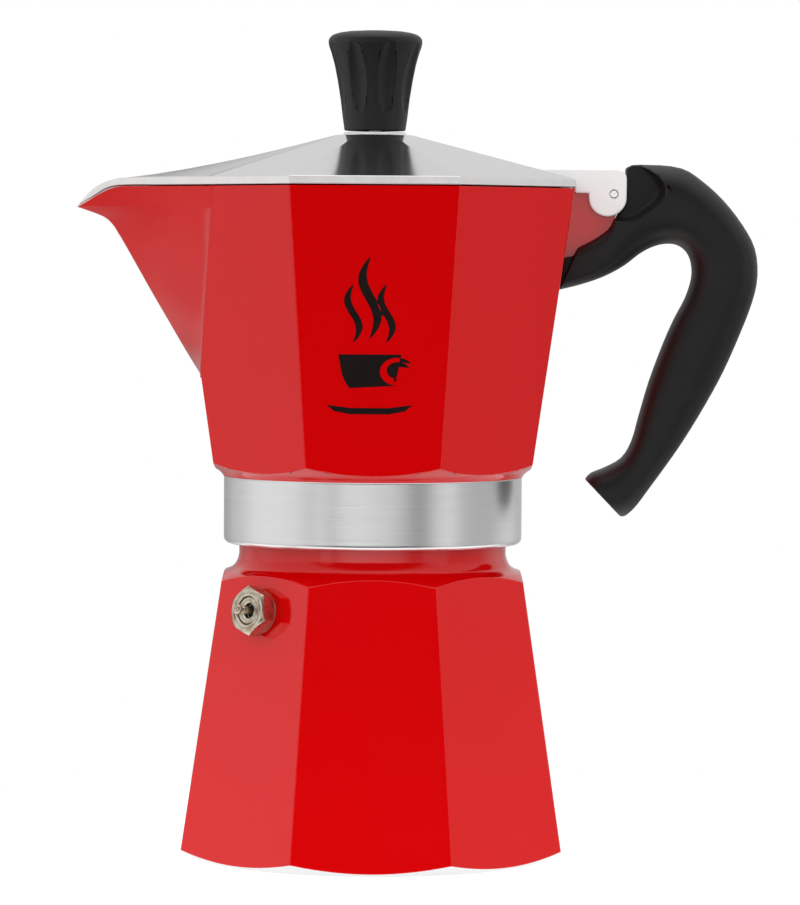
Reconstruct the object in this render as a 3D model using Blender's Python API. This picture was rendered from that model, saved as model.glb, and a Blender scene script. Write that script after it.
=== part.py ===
"""Stove-top coffee maker (moka pot), six cups, built from its real pieces.

Origin: centre of the boiler's flat bottom.  +Z up, spout towards -X, handle towards +X.
All lengths below are in millimetres for the six-cup pot; MM turns them into metres.
"""
import math

import bmesh
import bpy
from mathutils import Matrix, Vector

POT_SCALE = 1.0                # overall size against the six-cup pot
MM = 0.001 * POT_SCALE
GAP = 0.3                      # clearance left between pieces that touch
ROUND = 64                     # facets of the large turned pieces
SMALL = 24                     # facets of pins, screws and tubes

# boiler
BOILER_FOOT = 50.0             # half the width across flats at the bottom
BOILER_TAPER = 0.146           # how much a face leans in per unit of height
BOILER_WALL = 3.2
BOILER_FLOOR = 4.0
NECK_RADIUS = 35.2
NECK_BORE = 31.5
NECK_TOP = 95.0
THREAD_CREST = 36.0
THREAD_PITCH = 4.0
NECK_THREAD_START = 85.3
NECK_THREAD_TURNS = 2.0

# collector
BAND_RADIUS = 39.3
BAND_BOTTOM = 82.2
BAND_TOP = 99.4
BAND_ROUNDING = 1.6
SKIRT_BORE = 37.1
SKIRT_CREST = 36.35
SEAL_BORE = 36.3
PLATE_BORE = 32.8
COLLECTOR_BASE = 101.0
COLLECTOR_BASE_HALF = 41.2     # half across flats at COLLECTOR_BASE
RIM = 175.6
RIM_HALF = 51.8                # half across flats at the rim
COLLECTOR_WALL = 2.6
COLLECTOR_FLOOR = 105.0
COLUMN_TOP = 150.0
COLUMN_BORE = 4.2

# spout
SPOUT_FOOT = 126.0
KEEL = [(-45.4, 126.0), (-49.9, 133.0), (-54.4, 140.5), (-58.9, 148.0), (-63.4, 155.8),
        (-66.6, 161.3), (-68.0, 163.6), (-69.4, 165.7), (-72.0, 167.8), (-78.3, 170.0),
        (-81.0, 171.2), (-84.0, 177.0)]
SPOUT_CORNER = (-45.05, 18.66, 128.0)
SPOUT_SHOULDER = (-41.7, 31.5, 175.6)
SPOUT_TIP = (-78.3, 170.0)
LIP = [(-66.0, 175.6), (-69.9, 174.7), (-75.2, 171.9), (-78.3, 170.2)]
SPOUT_WALL = 2.4
BEAK_ROOT = 161.3              # above this height the keel swings out into the beak
BEAK_SLOPE = 0.818             # how far the spout's sides still lean out per unit of height there
SIDE_STEPS = (0.0, 0.4, 0.65, 0.82)
ROOT_OVERLAP = 0.3             # how far the spout's sides run on into the body

# lid
LID_BOTTOM = RIM + GAP
LID_HALF = 52.0
LID_FLANGE = 2.1
LID_CROWN = 189.5
LID_CROWN_RADIUS = 10.5
LID_SEAT = 190.3
LID_SHELL = 2.2

# hinge
PIN_X = 62.7
PIN_Z = 174.4
PIN_RADIUS = 1.1
PIN_HOLE = PIN_RADIUS + 0.1
LUG_HALF = 4.0
EAR_INNER = LUG_HALF + GAP
EAR_OUTER = EAR_INNER + 2.7
BLOCK_TOP = 180.9
BLOCK_END = 66.05
BLOCK_ROUNDING = 2.6
LOBE_X = 61.05
LOBE_Z = 173.5
LOBE_RADIUS = 5.0
BRIDGE_END = 54.5

# knob
KNOB_BOTTOM = 190.7
KNOB_FLUTES = 8

# funnel, gasket and plates
FUNNEL_RIM = NECK_TOP + GAP
FUNNEL_STEM_OUT = 4.5
FUNNEL_STEM_IN = 3.5
STEM_BOTTOM = 11.0
STEM_TOP = 65.8
SIEVE_Z = 74.5
SIEVE_RADIUS = 27.3
PLATE_RADIUS = 32.5
PLATE_THICK = 0.8
GASKET_OUT = 36.0
GASKET_IN = 28.5
GASKET_BOTTOM = FUNNEL_RIM + 1.0 + GAP
GASKET_THICK = 4.0
PLATE_BOTTOM = GASKET_BOTTOM + GASKET_THICK + 0.2
SEAL_CEILING = PLATE_BOTTOM + 0.1
PLATE_CEILING = PLATE_BOTTOM + PLATE_THICK + 0.4

# safety valve, on the face between the spout side and the front
VALVE_Z = 65.8
VALVE_HEX = 11.4               # across flats
VALVE_TURN = 10.0              # degrees the hexagon stopped past a corner-up position

# handle screw
SCREW_FOOT = (58.4, 152.3)
SCREW_LEAN = math.radians(17.0)


# ------------------------------------------------------------------ helpers
def clear_scene():
    for obj in list(bpy.data.objects):
        bpy.data.objects.remove(obj, do_unlink=True)


def material(name, colour, roughness, metallic):
    found = bpy.data.materials.get(name)
    if found:
        return found
    made = bpy.data.materials.new(name)
    made.use_nodes = True
    shader = made.node_tree.nodes["Principled BSDF"]
    shader.inputs["Base Color"].default_value = (*colour, 1.0)
    shader.inputs["Roughness"].default_value = roughness
    shader.inputs["Metallic"].default_value = metallic
    made.diffuse_color = (*colour, 1.0)
    return made


def from_bmesh(name, bm):
    bmesh.ops.remove_doubles(bm, verts=bm.verts, dist=1e-7)
    loose = [e for e in bm.edges if not e.link_faces]
    bmesh.ops.delete(bm, geom=loose, context="EDGES")
    bmesh.ops.recalc_face_normals(bm, faces=bm.faces)
    mesh = bpy.data.meshes.new(name)
    bm.to_mesh(mesh)
    bm.free()
    obj = bpy.data.objects.new(name, mesh)
    bpy.context.collection.objects.link(obj)
    return obj


def turned(name, profile, facets=ROUND, phase=0.0):
    """Turn a profile of (radius, height) points about the Z axis."""
    bm = bmesh.new()
    verts = [bm.verts.new((r * MM, 0.0, z * MM)) for r, z in profile]
    edges = [bm.edges.new(pair) for pair in zip(verts, verts[1:])]
    if profile[0][0] > 0 or profile[-1][0] > 0:
        edges.append(bm.edges.new((verts[-1], verts[0])))
    bmesh.ops.spin(bm, geom=verts + edges, cent=(0, 0, 0), axis=(0, 0, 1),
                   angle=math.tau, steps=facets, use_merge=False)
    bmesh.ops.remove_doubles(bm, verts=bm.verts, dist=1e-6)
    if phase:
        bmesh.ops.rotate(bm, verts=bm.verts, cent=(0, 0, 0), matrix=Matrix.Rotation(phase, 3, "Z"))
    return from_bmesh(name, bm)


def stacked(name, rings):
    """Skin closed rings of equal point count into one solid with flat ends."""
    bm = bmesh.new()
    loops = [[bm.verts.new((x * MM, y * MM, z * MM)) for x, y, z in ring] for ring in rings]
    count = len(loops[0])
    for lower, upper in zip(loops, loops[1:]):
        for k in range(count):
            n = (k + 1) % count
            bm.faces.new((lower[k], lower[n], upper[n], upper[k]))
    bm.faces.new(loops[0])
    bm.faces.new(loops[-1])
    return from_bmesh(name, bm)


def octagon(half, z):
    radius = half / math.cos(math.pi / 8)
    return [(radius * math.cos(math.pi / 8 + k * math.pi / 4),
             radius * math.sin(math.pi / 8 + k * math.pi / 4), z) for k in range(8)]


def eight_sided(name, levels):
    return stacked(name, [octagon(half, z) for z, half in levels])


def plate(name, outline, y0, y1):
    """Extrude an outline of (x, z) points along Y."""
    return stacked(name, [[(x, y, z) for x, z in outline] for y in (y0, y1)])


def cylinder_y(name, x, z, radius, y0, y1, facets=SMALL):
    outline = [(x + radius * math.cos(math.tau * k / facets), z + radius * math.sin(math.tau * k / facets))
               for k in range(facets)]
    return plate(name, outline, y0, y1)


def boolean(target, operation, *others, solver="EXACT"):
    for other in others:
        step = target.modifiers.new(operation.lower(), "BOOLEAN")
        step.operation = operation
        step.solver = solver
        step.object = other
        graph = bpy.context.evaluated_depsgraph_get()
        result = bpy.data.meshes.new_from_object(target.evaluated_get(graph))
        target.modifiers.clear()
        target.data = result
        bpy.data.objects.remove(other, do_unlink=True)
    return target


def helical_ridge(name, root, crest, z_start, pitch, turns, width, crest_width):
    """A thread ridge: a trapezoid carried round Z while it rises."""
    bm = bmesh.new()
    corners = [(root, -width / 2), (crest, -crest_width / 2), (crest, crest_width / 2), (root, width / 2)]
    face = bm.faces.new([bm.verts.new((r * MM, 0.0, (z_start + z) * MM)) for r, z in corners])
    steps = int(turns * 28)
    rise = pitch * turns / steps * MM
    bmesh.ops.spin(bm, geom=[face] + list(face.edges) + list(face.verts), cent=(0, 0, 0), axis=(0, 0, 1),
                   dvec=(0, 0, rise), angle=math.tau * turns, steps=steps)
    return from_bmesh(name, bm)


def finish(obj, made, edge_angle=30.0):
    """Name the mesh, give it its material, clean it and shade it."""
    obj.data.name = obj.name
    obj.data.materials.clear()
    obj.data.materials.append(made)
    bm = bmesh.new()
    bm.from_mesh(obj.data)
    bmesh.ops.remove_doubles(bm, verts=bm.verts, dist=2e-6)
    bmesh.ops.dissolve_degenerate(bm, edges=bm.edges, dist=1e-6)
    bmesh.ops.recalc_face_normals(bm, faces=bm.faces)
    for face in bm.faces:
        face.smooth = True
        face.material_index = 0
    bm.to_mesh(obj.data)
    bm.free()
    obj.data.set_sharp_from_angle(angle=math.radians(edge_angle))
    obj.data.update()
    return obj


def perforated_disc(name, radius, z0, z1, hole, pitch, rows, facets=48):
    """A round sheet with a hexagonal field of holes, cut from one flat outline."""
    curve = bpy.data.curves.new(name, "CURVE")
    curve.dimensions = "2D"
    curve.fill_mode = "BOTH"
    curve.extrude = (z1 - z0) / 2 * MM

    def ring(cx, cy, r, count):
        spline = curve.splines.new("POLY")
        spline.points.add(count - 1)
        for k in range(count):
            a = math.tau * k / count
            spline.points[k].co = ((cx + r * math.cos(a)) * MM, (cy + r * math.sin(a)) * MM, 0.0, 1.0)
        spline.use_cyclic_u = True

    ring(0.0, 0.0, radius, facets)
    for q in range(-rows, rows + 1):
        for s in range(-rows, rows + 1):
            if abs(q + s) <= rows:
                ring(pitch * (q + s / 2), pitch * s * math.sqrt(3) / 2, hole, 6)
    flat = bpy.data.objects.new(name + "_outline", curve)
    bpy.context.collection.objects.link(flat)
    graph = bpy.context.evaluated_depsgraph_get()
    mesh = bpy.data.meshes.new_from_object(flat.evaluated_get(graph))
    bpy.data.objects.remove(flat, do_unlink=True)
    bm = bmesh.new()
    bm.from_mesh(mesh)
    bmesh.ops.translate(bm, verts=bm.verts, vec=(0, 0, (z0 + z1) / 2 * MM))
    return from_bmesh(name, bm)


# ------------------------------------------------------------------ materials
def red_enamel():
    return material("red_lacquer", (0.60, 0.006, 0.010), 0.22, 0.0)


def aluminium():
    return material("aluminium", (0.80, 0.80, 0.81), 0.28, 1.0)


def black_plastic():
    return material("black_plastic", (0.018, 0.018, 0.019), 0.38, 0.0)


def brass():
    return material("plated_brass", (0.62, 0.57, 0.47), 0.30, 1.0)


def steel():
    return material("steel", (0.58, 0.58, 0.60), 0.30, 1.0)


def rubber():
    return material("white_rubber", (0.78, 0.77, 0.74), 0.65, 0.0)


def fibre():
    return material("fibre", (0.35, 0.12, 0.06), 0.80, 0.0)


# ------------------------------------------------------------------ valve frame
def valve_matrix():
    """Local +Z points straight out of the leaning face; local origin is on its outer skin."""
    outward = Vector((-math.sqrt(0.5), -math.sqrt(0.5), BOILER_TAPER)).normalized()
    half = BOILER_FOOT - BOILER_TAPER * VALVE_Z
    spot = Vector((-half * math.sqrt(0.5), -half * math.sqrt(0.5), VALVE_Z)) * MM
    across = Vector((math.sqrt(0.5), -math.sqrt(0.5), 0.0))
    up = outward.cross(across)
    turn = Matrix((across, up, outward)).transposed().to_4x4()
    return Matrix.Translation(spot) @ turn


def at_valve(obj):
    obj.data.transform(valve_matrix())
    return obj


# ------------------------------------------------------------------ pieces
def boiler():
    flats = eight_sided("boiler", [(0.0, BOILER_FOOT), (76.0, BOILER_FOOT - 76.0 * BOILER_TAPER),
                                   (97.0, BOILER_FOOT - 76.0 * BOILER_TAPER)])
    shape = turned("envelope", [(0.0, 0.0), (BOILER_FOOT - 1.4, 0.0), (BOILER_FOOT + 6.0, 4.3),
                                (BOILER_FOOT + 6.0, 65.2), (39.6, 74.6),
                                (38.6, 75.0), (37.1, 75.7), (36.1, 76.6), (35.5, 77.7), (NECK_RADIUS, 79.2),
                                (NECK_RADIUS, NECK_TOP - 0.8), (NECK_RADIUS - 0.8, NECK_TOP),
                                (0.0, NECK_TOP)])
    boolean(flats, "INTERSECT", shape)
    inner = BOILER_FOOT - BOILER_WALL
    hollow = eight_sided("hollow", [(3.0, inner - 3.0 * BOILER_TAPER), (74.0, inner - 74.0 * BOILER_TAPER),
                                    (99.0, inner - 74.0 * BOILER_TAPER)])
    bore = turned("bore", [(0.0, BOILER_FLOOR), (BOILER_FOOT - 7.0, BOILER_FLOOR),
                           (BOILER_FOOT - 4.0, BOILER_FLOOR + 1.5), (BOILER_FOOT, BOILER_FLOOR + 7.0),
                           (BOILER_FOOT, 55.0), (37.6, 69.5), (33.0, 74.5), (NECK_BORE, 77.5),
                           (NECK_BORE, NECK_TOP + 3.0), (0.0, NECK_TOP + 3.0)])
    boolean(hollow, "INTERSECT", bore)
    boolean(flats, "DIFFERENCE", hollow)
    ridge = helical_ridge("ridge", NECK_RADIUS - 0.6, THREAD_CREST, NECK_THREAD_START, THREAD_PITCH,
                          NECK_THREAD_TURNS, 2.6, 0.9)
    boolean(flats, "UNION", ridge)
    drill = at_valve(turned("drill", [(0.0, -12.0), (4.3, -12.0), (4.3, 6.0), (0.0, 6.0)], SMALL))
    boolean(flats, "DIFFERENCE", drill)
    return finish(flats, red_enamel(), 20.0)


def valve_body():
    """Hexagon and screwed shank in one, bored through for the plunger."""
    radius = VALVE_HEX / 2 / math.cos(math.pi / 6)
    turn = math.radians(90.0 + VALVE_TURN)
    corners = [(radius * math.cos(turn + k * math.pi / 3), radius * math.sin(turn + k * math.pi / 3))
               for k in range(6)]
    body = stacked("valve_body", [[(x, y, z) for x, y in corners] for z in (1.1, 5.3)])
    dome = turned("dome", [(0.0, 1.0), (5.9, 1.0), (6.7, 1.7), (6.7, 4.6), (5.4, 5.31), (0.0, 5.31)], SMALL)
    boolean(body, "INTERSECT", dome)
    shank = turned("shank", [(0.0, -7.6), (3.6, -7.6), (4.0, -7.2), (4.0, 1.6), (0.0, 1.6)], SMALL)
    boolean(body, "UNION", shank)
    bore = turned("bore", [(0.0, -8.0), (1.5, -8.0), (1.5, -6.4), (2.9, -6.4), (2.9, 3.6), (3.7, 3.6),
                           (3.7, 6.0), (0.0, 6.0)], SMALL)
    boolean(body, "DIFFERENCE", bore)
    at_valve(body)
    return finish(body, brass())


def valve_washer():
    return finish(at_valve(turned("valve_washer", [(4.5, 0.2), (5.6, 0.2), (5.6, 0.9), (4.5, 0.9)], SMALL)),
                  fibre())


def valve_cap():
    ring = turned("valve_cap", [(1.9, 3.8), (3.5, 3.8), (3.5, 4.7), (3.2, 4.9), (2.3, 4.9), (1.9, 4.5)],
                  SMALL)
    return finish(at_valve(ring), brass())


def valve_plunger():
    pin = turned("valve_plunger", [(0.0, -5.3), (2.5, -5.3), (2.5, -4.6), (1.0, -4.5), (1.0, 6.9),
                                   (0.75, 7.2), (0.75, 7.6), (1.35, 8.1), (1.35, 8.9), (0.9, 9.3),
                                   (0.0, 9.35)], 16)
    return finish(at_valve(pin), brass())


def valve_seal():
    return finish(at_valve(turned("valve_seal", [(0.0, -6.25), (2.3, -6.25), (2.4, -5.5), (0.0, -5.5)], 16)),
                  rubber())


def valve_spring():
    """Close-coiled compression spring of round wire between the plunger's collar and the cap."""
    mean, wire, low, high, coils, per_turn = 2.2, 0.25, -4.1, 3.3, 6.0, 12
    bm = bmesh.new()
    circle = bmesh.ops.create_circle(bm, cap_ends=True, segments=5, radius=wire * MM,
                                     matrix=Matrix.Translation((mean * MM, 0, low * MM))
                                     @ Matrix.Rotation(math.pi / 2, 4, "X"))
    steps = int(coils * per_turn)
    geom = circle["verts"] + list(bm.edges) + list(bm.faces)
    bmesh.ops.spin(bm, geom=geom, cent=(0, 0, 0), axis=(0, 0, 1), dvec=(0, 0, (high - low) / steps * MM),
                   angle=math.tau * coils, steps=steps)
    return finish(at_valve(from_bmesh("valve_spring", bm)), steel())


def funnel_basket():
    throat = FUNNEL_STEM_OUT + GAP
    cup = turned("funnel_basket", [
        (35.0, FUNNEL_RIM), (35.0, FUNNEL_RIM + 0.7), (34.7, FUNNEL_RIM + 1.0), (29.3, FUNNEL_RIM + 1.0),
        (28.6, FUNNEL_RIM + 0.4), (27.9, 94.0), (27.7, 74.2), (26.3, 74.2), (25.8, 73.4), (7.0, 68.4),
        (throat, 66.6), (throat, 60.0), (throat + 0.8, 60.0), (throat + 0.9, 65.8), (8.0, 67.4),
        (26.6, 72.4), (28.3, 73.2), (28.7, 74.4), (28.9, 93.4), (29.6, 94.8), (30.4, FUNNEL_RIM)], 48)
    return finish(cup, aluminium())


def funnel_stem():
    tube = turned("funnel_stem", [(FUNNEL_STEM_IN, STEM_BOTTOM), (FUNNEL_STEM_OUT, STEM_BOTTOM),
                                  (FUNNEL_STEM_OUT, STEM_TOP), (FUNNEL_STEM_IN, STEM_TOP)], SMALL)
    return finish(tube, aluminium())


def funnel_sieve():
    return finish(perforated_disc("funnel_sieve", SIEVE_RADIUS, SIEVE_Z, SIEVE_Z + 0.8, 0.9, 7.4, 3),
                  aluminium())


def gasket():
    top = GASKET_BOTTOM + GASKET_THICK
    ring = turned("gasket", [(GASKET_IN, GASKET_BOTTOM + 0.4), (GASKET_IN + 0.4, GASKET_BOTTOM),
                             (GASKET_OUT - 0.4, GASKET_BOTTOM), (GASKET_OUT, GASKET_BOTTOM + 0.4),
                             (GASKET_OUT, top), (GASKET_IN, top)], 48)
    return finish(ring, rubber())


def filter_plate():
    return finish(perforated_disc("filter_plate", PLATE_RADIUS, PLATE_BOTTOM, PLATE_BOTTOM + PLATE_THICK,
                                  0.9, 8.4, 3), aluminium())


def keel_x(z):
    for (x0, z0), (x1, z1) in zip(KEEL, KEEL[1:]):
        if z0 <= z <= z1:
            return x0 + (x1 - x0) * (z - z0) / (z1 - z0)
    return KEEL[-1][0]


def spout_root(z):
    """Point where the spout's side leaves the body, on the front-most of the two sides."""
    t = (z - SPOUT_CORNER[2]) / (SPOUT_SHOULDER[2] - SPOUT_CORNER[2])
    return (SPOUT_CORNER[0] + t * (SPOUT_SHOULDER[0] - SPOUT_CORNER[0]),
            SPOUT_CORNER[1] + t * (SPOUT_SHOULDER[1] - SPOUT_CORNER[1]))


def side_x(z):
    """Where the spout's two plain sides would meet; the beak alone goes beyond it."""
    if z <= BEAK_ROOT:
        return keel_x(z)
    return keel_x(BEAK_ROOT) - (z - BEAK_ROOT) * BEAK_SLOPE


def spout_ring(z, wall, root_scale, blunt):
    ox, oy = spout_root(z)
    meet = side_x(z)
    beak = keel_x(z) - meet
    meet += wall * math.hypot(ox - meet, oy) / oy
    rx, ry = (ox + ROOT_OVERLAP) * root_scale, (oy + ROOT_OVERLAP) * root_scale
    side = [(rx + (meet - rx) * s + beak * s ** 4, ry * (1.0 - s), z)
            for s in (*SIDE_STEPS, 1.0 - blunt / ry)]
    nose = meet + beak
    nose += (side[-1][0] - nose) * 0.35
    ring = [(nose, 0.0, z)] + side[::-1] + [(rx * 0.7, ry * 0.7, z)]
    return ring + [(x, -y, z) for x, y, z in ring[:0:-1]]


def spout_solid(name, wall, root_scale, low, high):
    levels = sorted({low, high} | {z for _, z in KEEL if low < z < high})
    return stacked(name, [spout_ring(z, wall, root_scale, 1.4 if wall == 0.0 else 0.9) for z in levels])


def lug_outline(grow=0.0):
    g = grow
    return [(46.0, 153.6 - g), (49.0, 154.0 - g), (56.0, 156.0 - g), (60.8, 158.4 - g), (62.4 + g, 161.4 - g),
            (62.8 + g, 165.4), (63.3 + g, 169.0), (65.2, 171.4), (65.8, 174.4), (65.2, 177.0), (62.7, 178.7),
            (59.9, 177.6), (58.4, 175.6), (57.4, 174.8), (46.0, 174.8)]


def collector():
    lean = (RIM_HALF - COLLECTOR_BASE_HALF) / (RIM - COLLECTOR_BASE)
    body = eight_sided("collector", [(80.0, COLLECTOR_BASE_HALF), (COLLECTOR_BASE, COLLECTOR_BASE_HALF),
                                     (RIM, RIM_HALF)])
    r = BAND_ROUNDING
    shape = turned("envelope", [(0.0, BAND_BOTTOM), (BAND_RADIUS - r, BAND_BOTTOM),
                                (BAND_RADIUS - 0.45 * r, BAND_BOTTOM + 0.15 * r),
                                (BAND_RADIUS - 0.15 * r, BAND_BOTTOM + 0.45 * r),
                                (BAND_RADIUS, BAND_BOTTOM + r), (BAND_RADIUS, BAND_TOP),
                                (BAND_RADIUS + 0.4, BAND_TOP + 0.7), (BAND_RADIUS + 1.1, BAND_TOP + 1.5),
                                (41.3, 101.6), (45.2, 103.8), (70.0, 118.0), (70.0, RIM + 4.0),
                                (0.0, RIM + 4.0)])
    boolean(body, "INTERSECT", shape)
    root_low, root_high = (spout_root(z)[0] + ROOT_OVERLAP / 2 for z in (SPOUT_FOOT, RIM + 4.0))
    boolean(body, "DIFFERENCE", plate("spout_room", [(root_low, SPOUT_FOOT), (root_high, RIM + 4.0),
                                                     (-62.0, RIM + 4.0), (-62.0, SPOUT_FOOT)], -40.0, 40.0))
    boolean(body, "UNION", spout_solid("spout", 0.0, 0.9985, SPOUT_FOOT, RIM))
    boolean(body, "UNION", plate("lug", lug_outline(), -LUG_HALF, LUG_HALF))
    inner = eight_sided("inner", [(COLLECTOR_FLOOR, COLLECTOR_BASE_HALF - COLLECTOR_WALL - 1.2),
                                  (COLLECTOR_FLOOR + 3.0, COLLECTOR_BASE_HALF - COLLECTOR_WALL
                                   + 7.0 * lean),
                                  (RIM + 3.0, RIM_HALF - COLLECTOR_WALL + 3.0 * lean)])
    boolean(inner, "UNION", spout_solid("channel", SPOUT_WALL, 0.93, SPOUT_FOOT + 1.4, RIM + 1.2))
    column = turned("column", [(0.0, COLLECTOR_FLOOR - 1.0), (10.5, COLLECTOR_FLOOR - 1.0),
                               (9.6, COLLECTOR_FLOOR + 1.0), (8.6, COLLECTOR_FLOOR + 4.5),
                               (7.4, COLLECTOR_FLOOR + 14.0), (6.3, COLUMN_TOP - 0.4),
                               (5.9, COLUMN_TOP), (0.0, COLUMN_TOP)], 32)
    boolean(inner, "DIFFERENCE", column)
    boolean(body, "DIFFERENCE", inner)
    lip = LIP + [(-90.0, 163.4), (-90.0, RIM + 6.0), (LIP[0][0], RIM + 6.0)]
    boolean(body, "DIFFERENCE", plate("lip", lip, -30.0, 30.0))
    under = turned("under", [(0.0, PLATE_CEILING), (PLATE_BORE, PLATE_CEILING), (PLATE_BORE, SEAL_CEILING),
                             (SEAL_BORE, SEAL_CEILING), (SEAL_BORE, 95.2), (SKIRT_BORE, 94.4),
                             (SKIRT_BORE, 79.0), (0.0, 79.0)])
    boolean(body, "DIFFERENCE", under)
    ridge = helical_ridge("ridge", SKIRT_BORE + 0.6, SKIRT_CREST, 84.6, THREAD_PITCH, 2.0, 2.6, 0.9)
    boolean(body, "UNION", ridge)
    throat = turned("throat", [(0.0, 100.0), (8.2, 100.0), (8.0, 102.2), (COLUMN_BORE + 0.2, 110.0),
                               (COLUMN_BORE, 112.0), (COLUMN_BORE, COLUMN_TOP + 2.0),
                               (0.0, COLUMN_TOP + 2.0)], SMALL)
    boolean(body, "DIFFERENCE", throat, cylinder_y("pin_hole", PIN_X, PIN_Z, PIN_HOLE, -9.0, 9.0),
            screw_hole("tap", 1.8, -2.0, 13.5))
    return finish(body, red_enamel(), 20.0)


def column_cap():
    """Pressed cap whose tube goes down the column; coffee leaves by the two windows under its top."""
    profile = [(0.0, 5.0), (2.4, 4.4), (3.0, 3.6), (3.0, -6.0), (3.9, -6.0), (3.9, GAP), (6.2, GAP),
               (6.5, 0.8), (6.5, 3.6), (5.8, 5.4), (3.8, 6.8), (0.0, 7.4)]
    cap = turned("column_cap", [(r, COLUMN_TOP + z) for r, z in profile], SMALL)
    window = stacked("window", [[(-1.6, -9.0, z), (1.6, -9.0, z), (1.6, 9.0, z), (-1.6, 9.0, z)]
                                for z in (COLUMN_TOP + 1.4, COLUMN_TOP + 3.6)])
    boolean(cap, "DIFFERENCE", window)
    return finish(cap, aluminium())


def lid_roof(name, inset, drop, low):
    """Eight-sided roof whose spout side runs out into a pointed hood."""
    scale = 1.0 - inset / LID_HALF
    flange = LID_BOTTOM + LID_FLANGE - drop
    corner = LID_HALF / math.cos(math.pi / 8) * scale
    shoulder = (SPOUT_SHOULDER[0] * scale * 1.004, SPOUT_SHOULDER[1] * scale * 1.004)
    tip_x = SPOUT_TIP[0] + (0.0 if inset == 0 else 2.8 * inset)
    edge_t = [0.0, 0.35, 0.62, 0.76, 0.88, 1.0]
    edge_top = [0.0, 0.0, -0.15, -0.9, -3.0, -7.6]
    edge_low = [0.0, 0.0, 0.0, -0.55, -2.9, -5.55]
    ridge_x = [-10.5, -31.0, -52.0, -65.0, -73.2, -78.3]
    ridge_z = [LID_CROWN, 184.3, 179.8, 177.1, 174.6, 170.6]
    bm = bmesh.new()

    def vert(x, y, z):
        return bm.verts.new((x * MM, y * MM, z * MM))

    def polar(angle, radius):
        return radius * math.cos(math.radians(angle)), radius * math.sin(math.radians(angle))

    top, bottom, crown = [], [], []
    angles = [22.5, 67.5, 112.5]
    for a in angles:
        x, y = polar(a, corner)
        top.append(vert(x, y, flange))
        bottom.append(vert(x, y, low))
        cx, cy = polar(a, LID_CROWN_RADIUS * (1 if inset == 0 else 0.8))
        crown.append(vert(cx, cy, LID_CROWN - drop))
    plus, plus_low, ridge = [], [], []
    for t, dz, dl in zip(edge_t, edge_top, edge_low):
        x = shoulder[0] + (tip_x - shoulder[0]) * t
        y = shoulder[1] * (1 - t)
        plus.append(vert(x, y, flange + dz))
        plus_low.append(vert(x, y, (LID_BOTTOM + dl) if inset == 0 else low))
    for x, z in zip(ridge_x[:-1], ridge_z[:-1]):
        ridge.append(vert(x * (tip_x / SPOUT_TIP[0]), 0.0, z - drop))
    ridge.append(plus[-1])
    cx, cy = polar(157.5, LID_CROWN_RADIUS * (1 if inset == 0 else 0.8))
    crown_plus = vert(cx, cy, LID_CROWN - drop)
    minus = [vert(v.co.x / MM, -v.co.y / MM, v.co.z / MM) for v in plus[:-1]] + [plus[-1]]
    minus_low = [vert(v.co.x / MM, -v.co.y / MM, v.co.z / MM) for v in plus_low[:-1]] + [plus_low[-1]]
    crown_minus = vert(cx, -cy, LID_CROWN - drop)
    top2 = [vert(v.co.x / MM, -v.co.y / MM, v.co.z / MM) for v in top]
    bottom2 = [vert(v.co.x / MM, -v.co.y / MM, v.co.z / MM) for v in bottom]
    crown2 = [vert(v.co.x / MM, -v.co.y / MM, v.co.z / MM) for v in crown]
    outer = top + plus + minus[-2::-1] + top2[::-1]
    lower = bottom + plus_low + minus_low[-2::-1] + bottom2[::-1]
    count = len(outer)
    for k in range(count):
        n = (k + 1) % count
        bm.faces.new((outer[k], outer[n], lower[n], lower[k]))
    ring_top = top + [plus[0]]
    ring_crown = crown + [crown_plus]
    for k in range(3):
        bm.faces.new((ring_top[k], ring_top[k + 1], ring_crown[k + 1], ring_crown[k]))
    ring_top = top2 + [minus[0]]
    ring_crown = crown2 + [crown_minus]
    for k in range(3):
        bm.faces.new((ring_top[k], ring_top[k + 1], ring_crown[k + 1], ring_crown[k]))
    bm.faces.new((top[0], crown[0], crown2[0], top2[0]))
    for side, top_crown in ((plus, crown_plus), (minus, crown_minus)):
        bm.faces.new((side[0], ridge[0], top_crown))
        for k in range(len(side) - 2):
            bm.faces.new((side[k], side[k + 1], ridge[k]))
            bm.faces.new((side[k + 1], ridge[k + 1], ridge[k]))
        bm.faces.new((side[-2], side[-1], ridge[-2]))
    bm.faces.new(crown + [crown_plus, ridge[0], crown_minus] + crown2[::-1])
    middle = count // 2
    for k in range(1, middle):
        bm.faces.new((lower[k - 1], lower[k], lower[count - 1 - k], lower[count - k]))
    bm.faces.new((lower[middle - 1], lower[middle], lower[middle + 1]))
    return from_bmesh(name, bm)


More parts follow.
